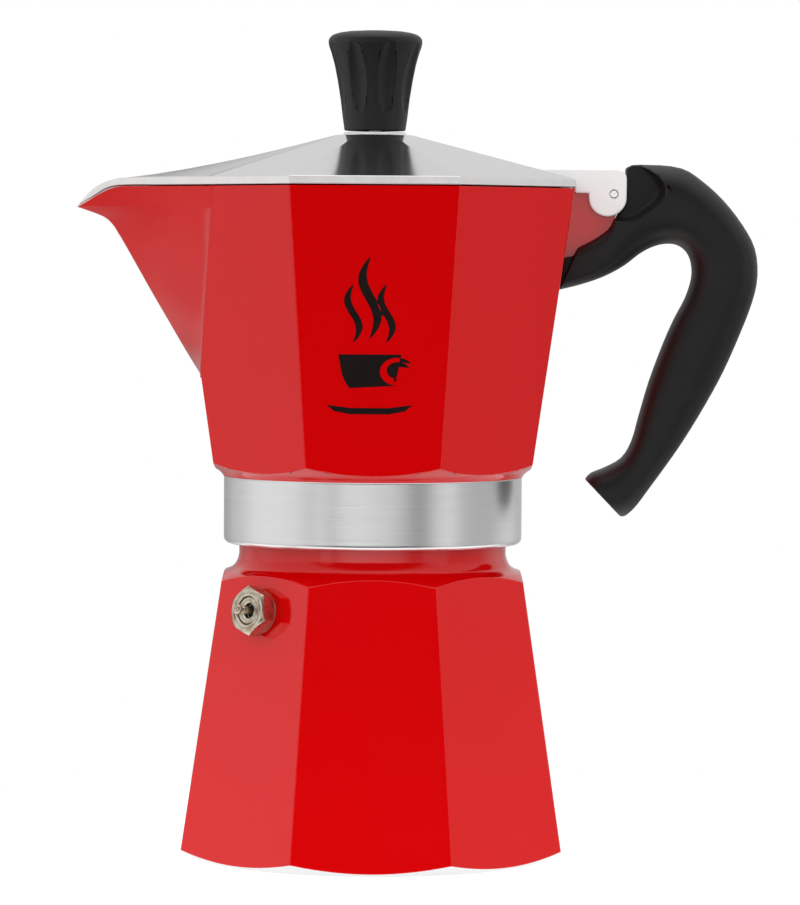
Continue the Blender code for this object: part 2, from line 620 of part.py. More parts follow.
def lid():
    roof = lid_roof("lid", 0.0, 0.0, LID_BOTTOM)
    seat = turned("seat", [(0.0, 188.0), (8.5, 188.0), (8.3, 189.9), (7.8, LID_SEAT), (0.0, LID_SEAT)], 32)
    boolean(roof, "UNION", seat)
    lobe = [(LOBE_X + LOBE_RADIUS * math.cos(a), LOBE_Z + LOBE_RADIUS * math.sin(a))
            for a in [math.radians(d) for d in range(-180, 1, 15)]]
    r = BLOCK_ROUNDING
    corner = [(BLOCK_END - r + r * math.cos(math.radians(d)), BLOCK_TOP - r + r * math.sin(math.radians(d)))
              for d in range(0, 91, 18)]
    block = [(43.0, 177.0), (52.4, 177.0), (52.4, 174.6), (LOBE_X - LOBE_RADIUS, 174.6)] + lobe + corner + [
        (43.0, BLOCK_TOP)]
    ears = plate("ears", block, -EAR_OUTER, EAR_OUTER)
    slot = stacked("slot", [[(BRIDGE_END, -EAR_INNER, z), (70.0, -EAR_INNER, z), (70.0, EAR_INNER, z),
                             (BRIDGE_END, EAR_INNER, z)] for z in (160.0, 190.0)])
    under = stacked("under", [[(40.0, -EAR_INNER, z), (56.0, -EAR_INNER, z), (56.0, EAR_INNER, z),
                               (40.0, EAR_INNER, z)] for z in (160.0, LID_BOTTOM)])
    boolean(ears, "DIFFERENCE", slot, under, cylinder_y("pin_hole", PIN_X, PIN_Z, PIN_HOLE, -9.0, 9.0))
    boolean(roof, "UNION", ears)
    boolean(roof, "DIFFERENCE", lid_roof("hollow", 3.2, LID_SHELL, 170.0),
            turned("hole", [(0.0, 180.0), (2.0, 180.0), (2.0, 195.0), (0.0, 195.0)], SMALL))
    return finish(roof, aluminium(), 12.0)


def hinge_pin():
    y = EAR_OUTER - 0.1
    pin = cylinder_y("hinge_pin", PIN_X, PIN_Z, PIN_RADIUS, -y, y)
    return finish(pin, steel())


def knob():
    grip = turned("knob", [(3.5, KNOB_BOTTOM), (7.8, KNOB_BOTTOM), (8.1, 191.2), (8.5, 194.0), (9.1, 199.0),
                           (9.9, 204.0), (10.7, 208.0), (11.6, 211.2), (12.2, 212.8), (12.35, 214.0),
                           (12.0, 215.1), (10.8, 216.0), (7.5, 216.7), (0.0, 217.0), (0.0, 203.6),
                           (3.5, 203.6)], 48)
    for k in range(KNOB_FLUTES):
        angle = math.radians(-90.0 + 17.5 + k * 360.0 / KNOB_FLUTES)
        bm = bmesh.new()
        bmesh.ops.create_uvsphere(bm, u_segments=14, v_segments=10, radius=MM)
        place = (Matrix.Rotation(angle, 4, "Z") @ Matrix.Translation((13.0 * MM, 0, 203.2 * MM))
                 @ Matrix.Rotation(math.radians(9.5), 4, "Y") @ Matrix.Diagonal((4.2, 4.2, 12.5, 1.0)))
        bmesh.ops.transform(bm, matrix=place, verts=bm.verts)
        boolean(grip, "DIFFERENCE", from_bmesh("flute", bm))
    return finish(grip, black_plastic(), 25.0)


def knob_insert():
    return finish(turned("knob_insert", [(1.9, KNOB_BOTTOM + 0.3), (3.2, KNOB_BOTTOM + 0.3), (3.2, 196.0),
                                         (2.9, 196.5), (3.2, 197.0), (3.2, 203.2), (1.9, 203.2)], SMALL),
                  brass())


def knob_screw():
    screw = turned("knob_screw", [(0.0, 185.2), (2.6, 185.2), (3.4, 185.8), (3.4, 187.0), (1.6, 187.0),
                                  (1.6, 200.0), (1.2, 200.6), (0.0, 200.6)], SMALL)
    slot = stacked("slot", [[(-5.0, -0.45, z), (5.0, -0.45, z), (5.0, 0.45, z), (-5.0, 0.45, z)]
                            for z in (184.0, 186.0)])
    boolean(screw, "DIFFERENCE", slot)
    return finish(screw, steel())


def screw_matrix():
    return (Matrix.Translation((SCREW_FOOT[0] * MM, 0, SCREW_FOOT[1] * MM))
            @ Matrix.Rotation(-SCREW_LEAN, 4, "Y"))


def screw_hole(name, radius, low, high):
    hole = turned(name, [(0.0, low), (radius, low), (radius, high), (0.0, high)], SMALL)
    hole.data.transform(screw_matrix())
    return hole


# handle stations: inner x, inner z, outer x, outer z, half width, squareness of the section
HANDLE = [
    (48.6, 149.2, 53.4, 160.3, 8.6, 5.0), (53.5, 150.4, 58.6, 163.1, 8.7, 5.0),
    (58.5, 152.0, 62.4, 166.6, 8.8, 4.6), (62.6, 153.8, 64.4, 174.0, 8.9, 4.0),
    (66.3, 156.0, 66.0, 181.3, 9.0, 3.4), (69.6, 158.6, 72.5, 182.2, 9.1, 3.0),
    (72.8, 160.4, 80.6, 181.4, 9.2, 2.7), (76.2, 161.4, 86.0, 178.2, 9.3, 2.7),
    (79.6, 161.2, 91.8, 173.0, 9.3, 2.7), (82.2, 159.4, 96.8, 166.7, 9.3, 2.7),
    (83.5, 156.4, 100.2, 160.4, 9.2, 2.7), (83.6, 152.4, 101.0, 153.2, 9.1, 2.7),
    (82.0, 147.2, 99.7, 146.4, 9.0, 2.7), (79.0, 141.4, 96.5, 137.8, 8.9, 2.7),
    (76.0, 134.4, 92.2, 127.9, 8.8, 2.7), (72.6, 125.0, 87.4, 118.9, 8.7, 2.7),
    (70.0, 115.9, 81.8, 109.6, 8.6, 2.7), (68.2, 109.4, 77.0, 102.6, 8.6, 2.7),
    (65.6, 105.0, 72.8, 96.8, 8.8, 2.7), (61.4, 102.5, 69.4, 92.2, 9.1, 2.7),
    (57.6, 100.9, 66.8, 89.8, 9.3, 2.7), (56.0, 99.2, 65.3, 89.5, 9.1, 2.7)]


# outline of the scoop in each cheek round the hinge, and how it draws in towards the middle web
SCOOP = [(57.0, 190.0), (66.0, 190.0), (69.5, 184.0), (72.2, 181.2), (74.6, 178.9), (76.1, 175.8),
         (75.3, 173.2), (72.5, 170.6), (69.3, 168.2), (66.6, 167.2), (63.7, 167.0), (57.0, 167.0)]
SCOOP_CENTRE = (64.0, 174.6)
SCOOP_LEVELS = [(4.0, 0.80), (4.4, 0.86), (5.4, 0.92), (7.0, 0.965), (9.0, 1.0), (12.0, 1.02)]


def scoop(name, side):
    cx, cz = SCOOP_CENTRE
    return stacked(name, [[(cx + (x - cx) * k, side * y, cz + (z - cz) * k) for x, z in SCOOP]
                          for y, k in SCOOP_LEVELS])


def handle():
    rings = []
    for ix, iz, ox, oz, half, square in HANDLE:
        cx, cz, ax, az = (ix + ox) / 2, (iz + oz) / 2, (ox - ix) / 2, (oz - iz) / 2
        ring = []
        for step in range(20):
            t = math.tau * step / 20
            c, s = math.cos(t), math.sin(t)
            u = math.copysign(abs(c) ** (2 / square), c)
            v = math.copysign(abs(s) ** (2 / square), s)
            ring.append((cx + ax * u, half * v, cz + az * u))
        rings.append(ring)
    grip = stacked("handle", rings)
    web = plate("web", [(48.6, 149.5), (49.75, 157.6), (54.0, 158.6), (54.0, 150.9)], -6.2, 6.2)
    boolean(grip, "UNION", web)
    slot = [(40.0, 151.9)] + lug_outline(0.35)[1:6]
    slot += [(63.65, 168.4), (64.4, 169.8), (65.8, 171.2), (66.15, 174.4), (66.15, 190.0), (40.0, 190.0)]
    boolean(grip, "DIFFERENCE", plate("slot", slot, -LUG_HALF - GAP, LUG_HALF + GAP),
            scoop("scoop_front", -1.0), scoop("scoop_back", 1.0),
            screw_hole("clearance", 1.9, -6.0, 12.0), screw_hole("counterbore", 3.5, -6.0, 2.8))
    return finish(grip, black_plastic(), 30.0)


def handle_screw():
    screw = turned("handle_screw", [(0.0, 0.3), (2.2, 0.3), (3.1, 1.0), (3.1, 2.5), (1.5, 2.5),
                                    (1.5, 12.0), (1.1, 12.6), (0.0, 12.6)], SMALL)
    slot = stacked("slot", [[(-5.0, -0.4, z), (5.0, -0.4, z), (5.0, 0.4, z), (-5.0, 0.4, z)]
                            for z in (-3.0, 1.2)])
    boolean(screw, "DIFFERENCE", slot)
    screw.data.transform(screw_matrix())
    return finish(screw, steel())


PIECES = [boiler, valve_body, valve_washer, valve_cap, valve_plunger, valve_seal, valve_spring,
          funnel_basket, funnel_stem, funnel_sieve, gasket, filter_plate, collector, column_cap,
          lid, hinge_pin, knob, knob_insert, knob_screw, handle, handle_screw]

clear_scene()
for build in PIECES:
    build()
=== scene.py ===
import math

import bmesh
import bpy
from mathutils import Matrix, Vector


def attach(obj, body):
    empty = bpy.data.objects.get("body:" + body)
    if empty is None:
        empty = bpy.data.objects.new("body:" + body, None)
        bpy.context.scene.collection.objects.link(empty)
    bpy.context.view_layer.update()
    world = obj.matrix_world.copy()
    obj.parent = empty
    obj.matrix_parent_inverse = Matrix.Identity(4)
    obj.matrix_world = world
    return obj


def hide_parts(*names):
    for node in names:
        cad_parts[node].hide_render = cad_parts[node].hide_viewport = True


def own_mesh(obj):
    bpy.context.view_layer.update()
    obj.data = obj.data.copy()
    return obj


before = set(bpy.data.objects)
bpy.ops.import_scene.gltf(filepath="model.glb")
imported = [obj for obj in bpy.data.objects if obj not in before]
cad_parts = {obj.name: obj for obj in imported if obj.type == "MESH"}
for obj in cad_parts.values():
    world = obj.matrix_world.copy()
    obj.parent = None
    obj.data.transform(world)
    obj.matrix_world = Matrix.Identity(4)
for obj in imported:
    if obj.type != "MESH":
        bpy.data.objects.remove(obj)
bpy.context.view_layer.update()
MM = 0.001


# ---------------------------------------------------------------- boiler
# The water pot: an eight-sided cup cast in aluminium, its shoulder and neck turned on a lathe.
# The outside has a gloss red stoved lacquer; the inside and the neck's thread are bare metal.
def deselect():
    if bpy.context.object and bpy.context.object.mode != "OBJECT":
        bpy.ops.object.mode_set(mode="OBJECT")
    bpy.ops.object.select_all(action="DESELECT")


def take(piece):
    deselect()
    piece.select_set(True)
    bpy.context.view_layer.objects.active = piece


def pick(piece, kind, wanted):
    """In edit mode, select the verts, edges or faces whose place or normal passes a test."""
    take(piece)
    bpy.ops.object.mode_set(mode="EDIT")
    bpy.ops.mesh.select_mode(type=kind)
    bpy.ops.mesh.select_all(action="DESELECT")
    cage = bmesh.from_edit_mesh(piece.data)
    for item in {"VERT": cage.verts, "EDGE": cage.edges, "FACE": cage.faces}[kind]:
        if wanted(item):
            item.select_set(True)
    bmesh.update_edit_mesh(piece.data)


def turned(name, profile, sides, finish, phase=0.0):
    """Draw a ring out along a profile of (radius, height) in mm. A closed profile meets its start."""
    deselect()
    closed = profile[0] == profile[-1]
    radius, height = profile[0]
    bpy.ops.mesh.primitive_circle_add(vertices=sides, radius=radius * MM, location=(0, 0, height * MM),
                                      rotation=(0, 0, phase), fill_type="NOTHING" if closed else "NGON")
    piece = bpy.context.object
    piece.name = piece.data.name = name
    bpy.ops.object.transform_apply(location=True, rotation=True)
    bpy.ops.object.mode_set(mode="EDIT")
    bpy.ops.mesh.select_mode(type="EDGE")
    bpy.ops.mesh.select_all(action="SELECT")
    for (r0, z0), (r1, z1) in zip(profile, profile[1:]):
        bpy.ops.mesh.extrude_region_move(TRANSFORM_OT_translate={"value": (0, 0, (z1 - z0) * MM)})
        bpy.ops.transform.resize(value=(r1 / r0, r1 / r0, 1), center_override=(0, 0, z1 * MM))
    bpy.ops.mesh.select_all(action="SELECT")
    bpy.ops.mesh.remove_doubles(threshold=1e-7)
    bpy.ops.mesh.normals_make_consistent(inside=False)
    bpy.ops.object.mode_set(mode="OBJECT")
    piece.data.materials.append(finish)
    return piece


def eight_sided(name, levels, finish, edge, sharp_at=-99.0):
    """An octagon drawn up through (height, half width across flats); its long edges are rounded off,
    but for those on the spout side of sharp_at."""
    profile = [(half / math.cos(math.pi / 8), z) for z, half in levels]
    piece = turned(name, profile, 8, finish, math.pi / 8)
    pick(piece, "EDGE", lambda e: abs(e.verts[0].co.z - e.verts[1].co.z) > MM
         and e.verts[0].co.x > sharp_at * MM)
    bpy.ops.mesh.bevel(offset=edge * MM, segments=3, affect="EDGES")
    bpy.ops.object.mode_set(mode="OBJECT")
    return piece


def work(piece, operation, *tools):
    """Cut, join or intersect with tools, which are used up; a cut face takes the tool's finish."""
    for tool in tools:
        take(piece)
        step = piece.modifiers.new(operation, "BOOLEAN")
        step.operation, step.solver, step.object = operation, "EXACT", tool
        step.material_mode = "TRANSFER"
        bpy.ops.object.modifier_apply(modifier=step.name)
        bpy.data.objects.remove(tool, do_unlink=True)
    return piece


def soften(piece, width, angle=25, segments=2, crease=40):
    """Round every sharp edge a little, then shade so that flats stay flat."""
    take(piece)
    if width:
        edges = piece.modifiers.new("edges", "BEVEL")
        edges.width, edges.segments, edges.limit_method = width * MM, segments, "ANGLE"
        edges.angle_limit = math.radians(angle)
        edges.use_clamp_overlap = False
        bpy.ops.object.modifier_apply(modifier=edges.name)
    bpy.ops.object.shade_smooth_by_angle(angle=math.radians(crease))
    flats = piece.modifiers.new("flats", "WEIGHTED_NORMAL")
    flats.keep_sharp = True
    bpy.ops.object.modifier_apply(modifier=flats.name)
    return piece


def coil(name, outline, pitch, turns, finish, steps=48):
    """Carry a small closed outline of (radius, height) round the axis while it climbs."""
    deselect()
    bpy.ops.mesh.primitive_circle_add(vertices=len(outline), radius=MM, fill_type="NOTHING")
    piece = bpy.context.object
    piece.name = piece.data.name = name
    for vert, (radius, height) in zip(piece.data.vertices, outline):
        vert.co = (radius * MM, 0, height * MM)
    screw = piece.modifiers.new("screw", "SCREW")
    screw.axis, screw.angle, screw.screw_offset = "Z", math.tau * turns, pitch * turns * MM
    screw.steps = screw.render_steps = int(turns * steps)
    bpy.ops.object.modifier_apply(modifier=screw.name)
    bpy.ops.object.mode_set(mode="EDIT")
    bpy.ops.mesh.select_all(action="SELECT")
    bpy.ops.mesh.fill_holes(sides=len(outline))
    bpy.ops.mesh.normals_make_consistent(inside=False)
    bpy.ops.object.mode_set(mode="OBJECT")
    piece.data.materials.append(finish)
    return piece


def belongs(piece, body, slot, *nodes):
    """Let a finished piece move with its body and stand for its CAD nodes, which are hidden. The slot is not
    used.
    """
    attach(piece, body)
    if nodes:
        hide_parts(*nodes)


class Wire:
    """The output of a shader node; + - * / ** between wires or numbers add Math nodes."""

    def __init__(self, nodes, socket):
        self.nodes, self.socket = nodes, socket

    def maths(self, operation, first, second=0.0):
        return self.nodes.node("ShaderNodeMath", {"operation": operation}, {0: first, 1: second})

    def __add__(self, other):
        return self.maths("ADD", self, other)

    def __sub__(self, other):
        return self.maths("SUBTRACT", self, other)

    def __rsub__(self, other):
        return self.maths("SUBTRACT", other, self)

    def __mul__(self, other):
        return self.maths("MULTIPLY", self, other)

    def __truediv__(self, other):
        return self.maths("DIVIDE", self, other)

    def __pow__(self, other):
        return self.maths("POWER", self, other)

    __radd__ = __add__
    __rmul__ = __mul__


class Nodes:
    """A node tree that makes its nodes through one method."""

    def __init__(self, tree):
        self.tree = tree

    def feed(self, socket, value):
        if isinstance(value, Wire):
            self.tree.links.new(value.socket, socket)
        else:
            socket.default_value = value

    def node(self, kind, settings, values, output=0):
        made = self.tree.nodes.new(kind)
        for key, value in settings.items():
            setattr(made, key, value)
        for key, value in values.items():
            self.feed(made.inputs[key], value)
        return Wire(self, made.outputs[output])

    def mask(self, wire, start, end):
        """Rise smoothly from 0 to 1 as a wire goes from start to end."""
        return self.node("ShaderNodeMapRange", {"clamp": True, "interpolation_type": "SMOOTHSTEP"},
                         {"Value": wire, "From Min": start, "From Max": end, "To Min": 0.0, "To Max": 1.0})

    def between(self, low, high, wire):
        """Carry a 0 to 1 wire onto the range low to high, held at the ends."""
        return self.node("ShaderNodeMapRange", {"clamp": True},
                         {"Value": wire, "From Min": 0.0, "From Max": 1.0, "To Min": low, "To Max": high})


class Finish(Nodes):
    """A material built up from nodes around one Principled shader."""

    def __init__(self, name, **settings):
        self.material = bpy.data.materials.new(name)
        self.material.use_nodes = True
        super().__init__(self.material.node_tree)
        self.shader = self.tree.nodes["Principled BSDF"]
        for socket, value in settings.items():
            self.feed(self.shader.inputs[socket.replace("_", " ")], value)
        self.place = self.node("ShaderNodeTexCoord", {}, {}, "Object")

    def noise(self, scale, detail=2.0, stretch=(1, 1, 1), rough=0.5):
        """Noise whose scale is in waves per metre, squeezed or drawn out along an axis."""
        at = self.node("ShaderNodeMapping", {}, {"Vector": self.place, "Scale": stretch})
        return self.node("ShaderNodeTexNoise", {}, {"Vector": at, "Scale": scale, "Detail": detail,
                                                    "Roughness": rough})

    def colours(self, wire, first, second):
        mix = self.tree.nodes.new("ShaderNodeMix")
        mix.data_type = "RGBA"
        self.feed(mix.inputs[0], wire)
        self.feed(mix.inputs[6], first if isinstance(first, Wire) else (*first, 1.0))
        self.feed(mix.inputs[7], second if isinstance(second, Wire) else (*second, 1.0))
        return Wire(self, mix.outputs[2])

    def relief(self, height, strength, depth, under=None):
        """Bump of a depth in mm; several can be laid over each other."""
        values = {"Height": height, "Strength": strength, "Distance": depth * MM}
        if under:
            values["Normal"] = under
        return self.node("ShaderNodeBump", {}, values, "Normal")

    def paint(self, **wires):
        for socket, wire in wires.items():
            self.feed(self.shader.inputs[socket.replace("_", " ")], wire)
        return self.material


def red_lacquer():
    paint = Finish("red_lacquer", IOR=1.5)
    cloud = paint.noise(28, 2)
    peel = paint.noise(420, 2, rough=0.4)
    waves = paint.noise(95, 1)
    specks = paint.noise(2600, 1)
    colour = paint.colours(cloud, (0.655, 0.0, 0.0008), (0.625, 0.0, 0.001))
    across = paint.node("ShaderNodeSeparateXYZ", {}, {"Vector": paint.place}, "X")
    on_spout = paint.mask(across, -0.044, -0.050)
    runs = paint.noise(230, 2, (1.0, 1.0, 1.7))
    normal = paint.relief(waves, 0.5, 0.05)
    normal = paint.relief(peel * (0.35 + on_spout * 0.9), 0.5, 0.012, normal)
    normal = paint.relief(runs * on_spout, 0.8, 0.10, normal)
    return paint.paint(Base_Color=colour, Normal=normal,
                       Roughness=paint.between(0.05, 0.11, cloud * 0.6 + specks * 0.4))


def cast_metal():
    metal = Finish("cast_aluminium", Metallic=1.0)
    grain = metal.noise(2200, 3)
    bloom = metal.noise(60, 3)
    colour = metal.colours(bloom, (0.66, 0.66, 0.65), (0.52, 0.52, 0.51))
    return metal.paint(Base_Color=colour, Roughness=metal.between(0.38, 0.58, bloom),
                       Normal=metal.relief(grain, 0.5, 0.03))


def turned_metal():
    """Lathe-turned aluminium: fine rings round the axis and faint longer marks across them."""
    metal = Finish("turned_aluminium", Metallic=1.0)
    rings = metal.noise(2400, 2, (0.004, 0.004, 1))
    coarse = metal.noise(520, 2, (0.01, 0.01, 1))
    smear = metal.noise(70, 2, (1, 1, 0.25))
    colour = metal.colours(coarse, (0.86, 0.86, 0.86), (0.78, 0.785, 0.79))
    rough = metal.between(0.20, 0.32, smear * 0.5 + rings * 0.5)
    normal = metal.relief(rings, 0.35, 0.008)
    return metal.paint(Base_Color=colour, Roughness=rough, Normal=metal.relief(coarse, 0.25, 0.01, normal))


RED, CAST, TURNED = red_lacquer(), cast_metal(), turned_metal()

FOOT_HALF, LEAN = 50.0, 0.146


def half_at(z):
    return FOOT_HALF - LEAN * z


boiler = eight_sided("boiler_shell", [(0.0, half_at(0)), (76.0, half_at(76)), (97.0, half_at(76))], RED, 0.45)
work(boiler, "INTERSECT", turned("lathe_shape", [
    (48.6, 0.0), (56.0, 4.3), (56.0, 65.2), (39.6, 74.6), (38.9, 74.95), (38.1, 75.2), (37.1, 75.7),
    (36.5, 76.2), (36.05, 76.8), (35.7, 77.5), (35.4, 78.3), (35.2, 79.3), (35.2, 83.4), (35.2, 94.2),
    (34.4, 95.0)],
    128, RED))
hollow = eight_sided("hollow", [(3.0, half_at(3) - 3.2), (74.0, half_at(74) - 3.2),
                                (99.0, half_at(74) - 3.2)],
                     CAST, 2.5)
work(hollow, "INTERSECT", turned("hollow_lathe", [
    (43.0, 4.0), (45.0, 4.6), (47.0, 6.5), (50.0, 11.0), (50.0, 55.0), (37.6, 69.5), (33.0, 74.5),
    (31.9, 75.8), (31.5, 77.5), (31.5, 98.0)], 96, CAST))
work(boiler, "DIFFERENCE", hollow)

OUTWARD = Vector((-math.sqrt(0.5), -math.sqrt(0.5), LEAN)).normalized()
VALVE_HEIGHT = 65.8
VALVE_REACH = half_at(VALVE_HEIGHT) * math.sqrt(0.5)
VALVE_FOOT = Vector((-VALVE_REACH, -VALVE_REACH, VALVE_HEIGHT)) * MM


def at_valve(piece):
    """Turn a piece made upright at the origin to stand out of the leaning valve face."""
    across = Vector((math.sqrt(0.5), -math.sqrt(0.5), 0))
    turn = Matrix((across, OUTWARD.cross(across), OUTWARD)).transposed().to_4x4()
    piece.matrix_world = Matrix.Translation(VALVE_FOOT) @ turn
    take(piece)
    bpy.ops.object.transform_apply(location=True, rotation=True)
    return piece


work(boiler, "DIFFERENCE", at_valve(turned("valve_hole", [(4.3, -12), (4.3, 6)], 32, CAST)))
pick(boiler, "FACE", lambda f: f.calc_center_median().z > 83.4 * MM
     or (f.calc_center_median().z < 4.6 * MM and f.normal.z < -0.6))
boiler.data.materials.append(TURNED)
boiler.active_material_index = len(boiler.data.materials) - 1
bpy.ops.object.material_slot_assign()
bpy.ops.object.mode_set(mode="OBJECT")
soften(boiler, 0.2, 24, 2)
belongs(boiler, "boiler", "red_lacquered_aluminium", "boiler")

neck_thread = coil("neck_thread", [(34.9, 84.2), (36.0, 85.05), (36.0, 85.95), (34.9, 86.8)], 4.0, 2.0,
                   TURNED)
belongs(soften(neck_thread, 0.0), "boiler", "bare_aluminium")


# ---------------------------------------------------------------- safety valve
# A nickel-plated brass valve screwed into the spout-side front face: hexagon body, fibre washer,
# crimped cap, sprung plunger with a rubber seat inside. The plating is worn and slightly warm.
def plated_brass():
    metal = Finish("plated_brass", Metallic=1.0)
    wear = metal.noise(500, 4)
    scuffs = metal.noise(2600, 2)
    colour = metal.colours(metal.mask(wear, 0.42, 0.66), (0.66, 0.60, 0.50), (0.46, 0.37, 0.26))
    return metal.paint(Base_Color=colour, Roughness=metal.between(0.2, 0.38, wear),
                       Normal=metal.relief(scuffs, 0.4, 0.02))


def pressed_fibre():
    fibre = Finish("pressed_fibre")
    flecks = fibre.noise(1800, 3)
    return fibre.paint(Base_Color=fibre.colours(flecks, (0.30, 0.07, 0.035), (0.42, 0.15, 0.08)),
                       Roughness=fibre.between(0.7, 0.9, flecks), Normal=fibre.relief(flecks, 0.6, 0.05))


def white_silicone():
    rubber = Finish("white_silicone", Subsurface_Weight=0.08, Subsurface_Scale=0.002)
    stain = rubber.noise(90, 3)
    dust = rubber.noise(2200, 2)
    return rubber.paint(Base_Color=rubber.colours(stain, (0.80, 0.79, 0.75), (0.70, 0.67, 0.60)),
                        Roughness=rubber.between(0.45, 0.62, dust), Normal=rubber.relief(dust, 0.4, 0.02))


def bright_steel():
    steel = Finish("zinc_steel", Metallic=1.0)
    bloom = steel.noise(700, 3)
    return steel.paint(Base_Color=steel.colours(bloom, (0.62, 0.62, 0.64), (0.48, 0.48, 0.50)),
                       Roughness=steel.between(0.22, 0.40, bloom),
                       Normal=steel.relief(steel.noise(3500, 1), 0.3, 0.01))


BRASS, FIBRE, SILICONE, STEEL = plated_brass(), pressed_fibre(), white_silicone(), bright_steel()

valve_body = turned("valve_hexagon", [(6.58, 1.1), (6.58, 5.3)], 6, BRASS, math.radians(10))
work(valve_body, "INTERSECT", turned("chamfer", [(5.9, 1.0), (6.7, 1.7), (6.7, 4.5), (5.5, 5.31)], 64, BRASS))
shank = [(3.6, -7.6)] + [(4.0 - 0.35 * (k % 2), -7.2 + 0.55 * k) for k in range(14)] + [(4.0, 1.6)]
work(valve_body, "UNION", turned("valve_shank", shank, 48, BRASS))
work(valve_body, "DIFFERENCE", turned("valve_bore", [
    (1.5, -8.0), (1.5, -6.4), (2.9, -6.4), (2.9, 3.6), (3.7, 3.6), (3.7, 5.0), (3.9, 5.4)], 48, BRASS))
work(valve_body, "DIFFERENCE", turned("face_groove", [
    (4.5, 5.0), (4.8, 5.0), (4.9, 5.6), (4.4, 5.6), (4.5, 5.0)], 48, BRASS))
soften(at_valve(valve_body), 0.12)
belongs(valve_body, "boiler", "plated_brass", "valve_body")

valve_washer = at_valve(turned("valve_washer", [
    (4.5, 0.2), (5.6, 0.2), (5.7, 0.55), (5.6, 0.9), (4.5, 0.9), (4.5, 0.2)], 48, FIBRE))
belongs(soften(valve_washer, 0.0), "boiler", "fibre", "valve_washer")

valve_cap = at_valve(turned("valve_cap", [
    (1.9, 3.8), (3.5, 3.8), (3.5, 4.7), (3.35, 4.87), (3.1, 4.9), (2.7, 4.75), (2.4, 4.9), (2.1, 4.8),
    (1.9, 4.5), (1.9, 3.8)], 48, BRASS))
belongs(soften(valve_cap, 0.0), "boiler", "plated_brass", "valve_cap")

plunger = at_valve(turned("valve_plunger", [
    (2.5, -5.3), (2.5, -4.6), (1.0, -4.5), (1.0, 6.8), (0.95, 6.95), (0.75, 7.15), (0.72, 7.6), (1.1, 7.85),
    (1.33, 8.15), (1.35, 8.8), (1.2, 9.12), (0.9, 9.3), (0.45, 9.35), (0.3, 9.2), (0.12, 9.1)], 40, BRASS))
belongs(soften(plunger, 0.0), "plunger", "plated_brass", "valve_plunger")

valve_seal = at_valve(turned("valve_seal", [(2.1, -6.25), (2.3, -6.15), (2.4, -5.9), (2.4, -5.5)], 40,
                             SILICONE))
belongs(soften(valve_seal, 0.0), "plunger", "white_rubber", "valve_seal")

WIRE, COIL, LOW_END, HIGH_END, COILS = 0.25, 2.2, -4.1, 3.3, 6.0
wire = [(COIL + WIRE * math.cos(math.tau * k / 10), LOW_END + WIRE * math.sin(math.tau * k / 10))
        for k in range(10)]
valve_spring = coil("valve_spring", wire, (HIGH_END - LOW_END) / COILS, COILS, STEEL, 32)
soften(at_valve(valve_spring), 0.0)
belongs(valve_spring, "boiler", "steel", "valve_spring")
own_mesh(valve_spring)


# ---------------------------------------------------------------- funnel
# The coffee basket is spun from aluminium sheet, with a drawn tube pressed into its throat and
# a punched sieve disc held on the ledge at the bottom of the cup.
def spun_sheet():
    metal = Finish("spun_aluminium", Metallic=1.0)
    rings = metal.noise(1500, 2, (0.02, 0.02, 1))
    bloom = metal.noise(45, 3)
    colour = metal.colours(bloom, (0.78, 0.78, 0.77), (0.66, 0.655, 0.64))
    return metal.paint(Base_Color=colour, Roughness=metal.between(0.24, 0.42, bloom * 0.6 + rings * 0.4),
                       Normal=metal.relief(rings, 0.4, 0.02))


SPUN = spun_sheet()

basket = turned("funnel_basket", [
    (35.0, 95.4), (35.15, 95.75), (35.0, 96.1), (34.7, 96.3), (29.4, 96.3), (28.9, 96.1), (28.5, 95.6),
    (27.95, 94.0), (27.7, 74.2), (26.3, 74.2), (25.8, 73.4), (7.0, 68.4), (5.6, 67.5), (4.8, 66.4),
    (4.8, 60.0),
    (5.5, 60.0), (5.7, 60.3), (5.7, 65.6), (6.4, 66.6), (8.0, 67.4), (26.6, 72.4), (28.0, 73.0), (28.6, 73.9),
    (28.7, 75.0), (28.9, 93.4), (29.2, 94.3), (29.8, 95.1), (30.4, 95.3), (34.7, 95.3), (35.0, 95.4)], 96,
    SPUN)
belongs(soften(basket, 0.0), "funnel", "bare_aluminium", "funnel_basket")

stem = turned("funnel_stem", [
    (3.5, 11.0), (4.3, 11.0), (4.5, 11.3), (4.5, 30.0), (4.5, 59.5), (4.5, 65.8), (3.5, 65.8), (3.5, 11.0)],
    48, SPUN)
belongs(soften(stem, 0.0), "funnel", "bare_aluminium", "funnel_stem")


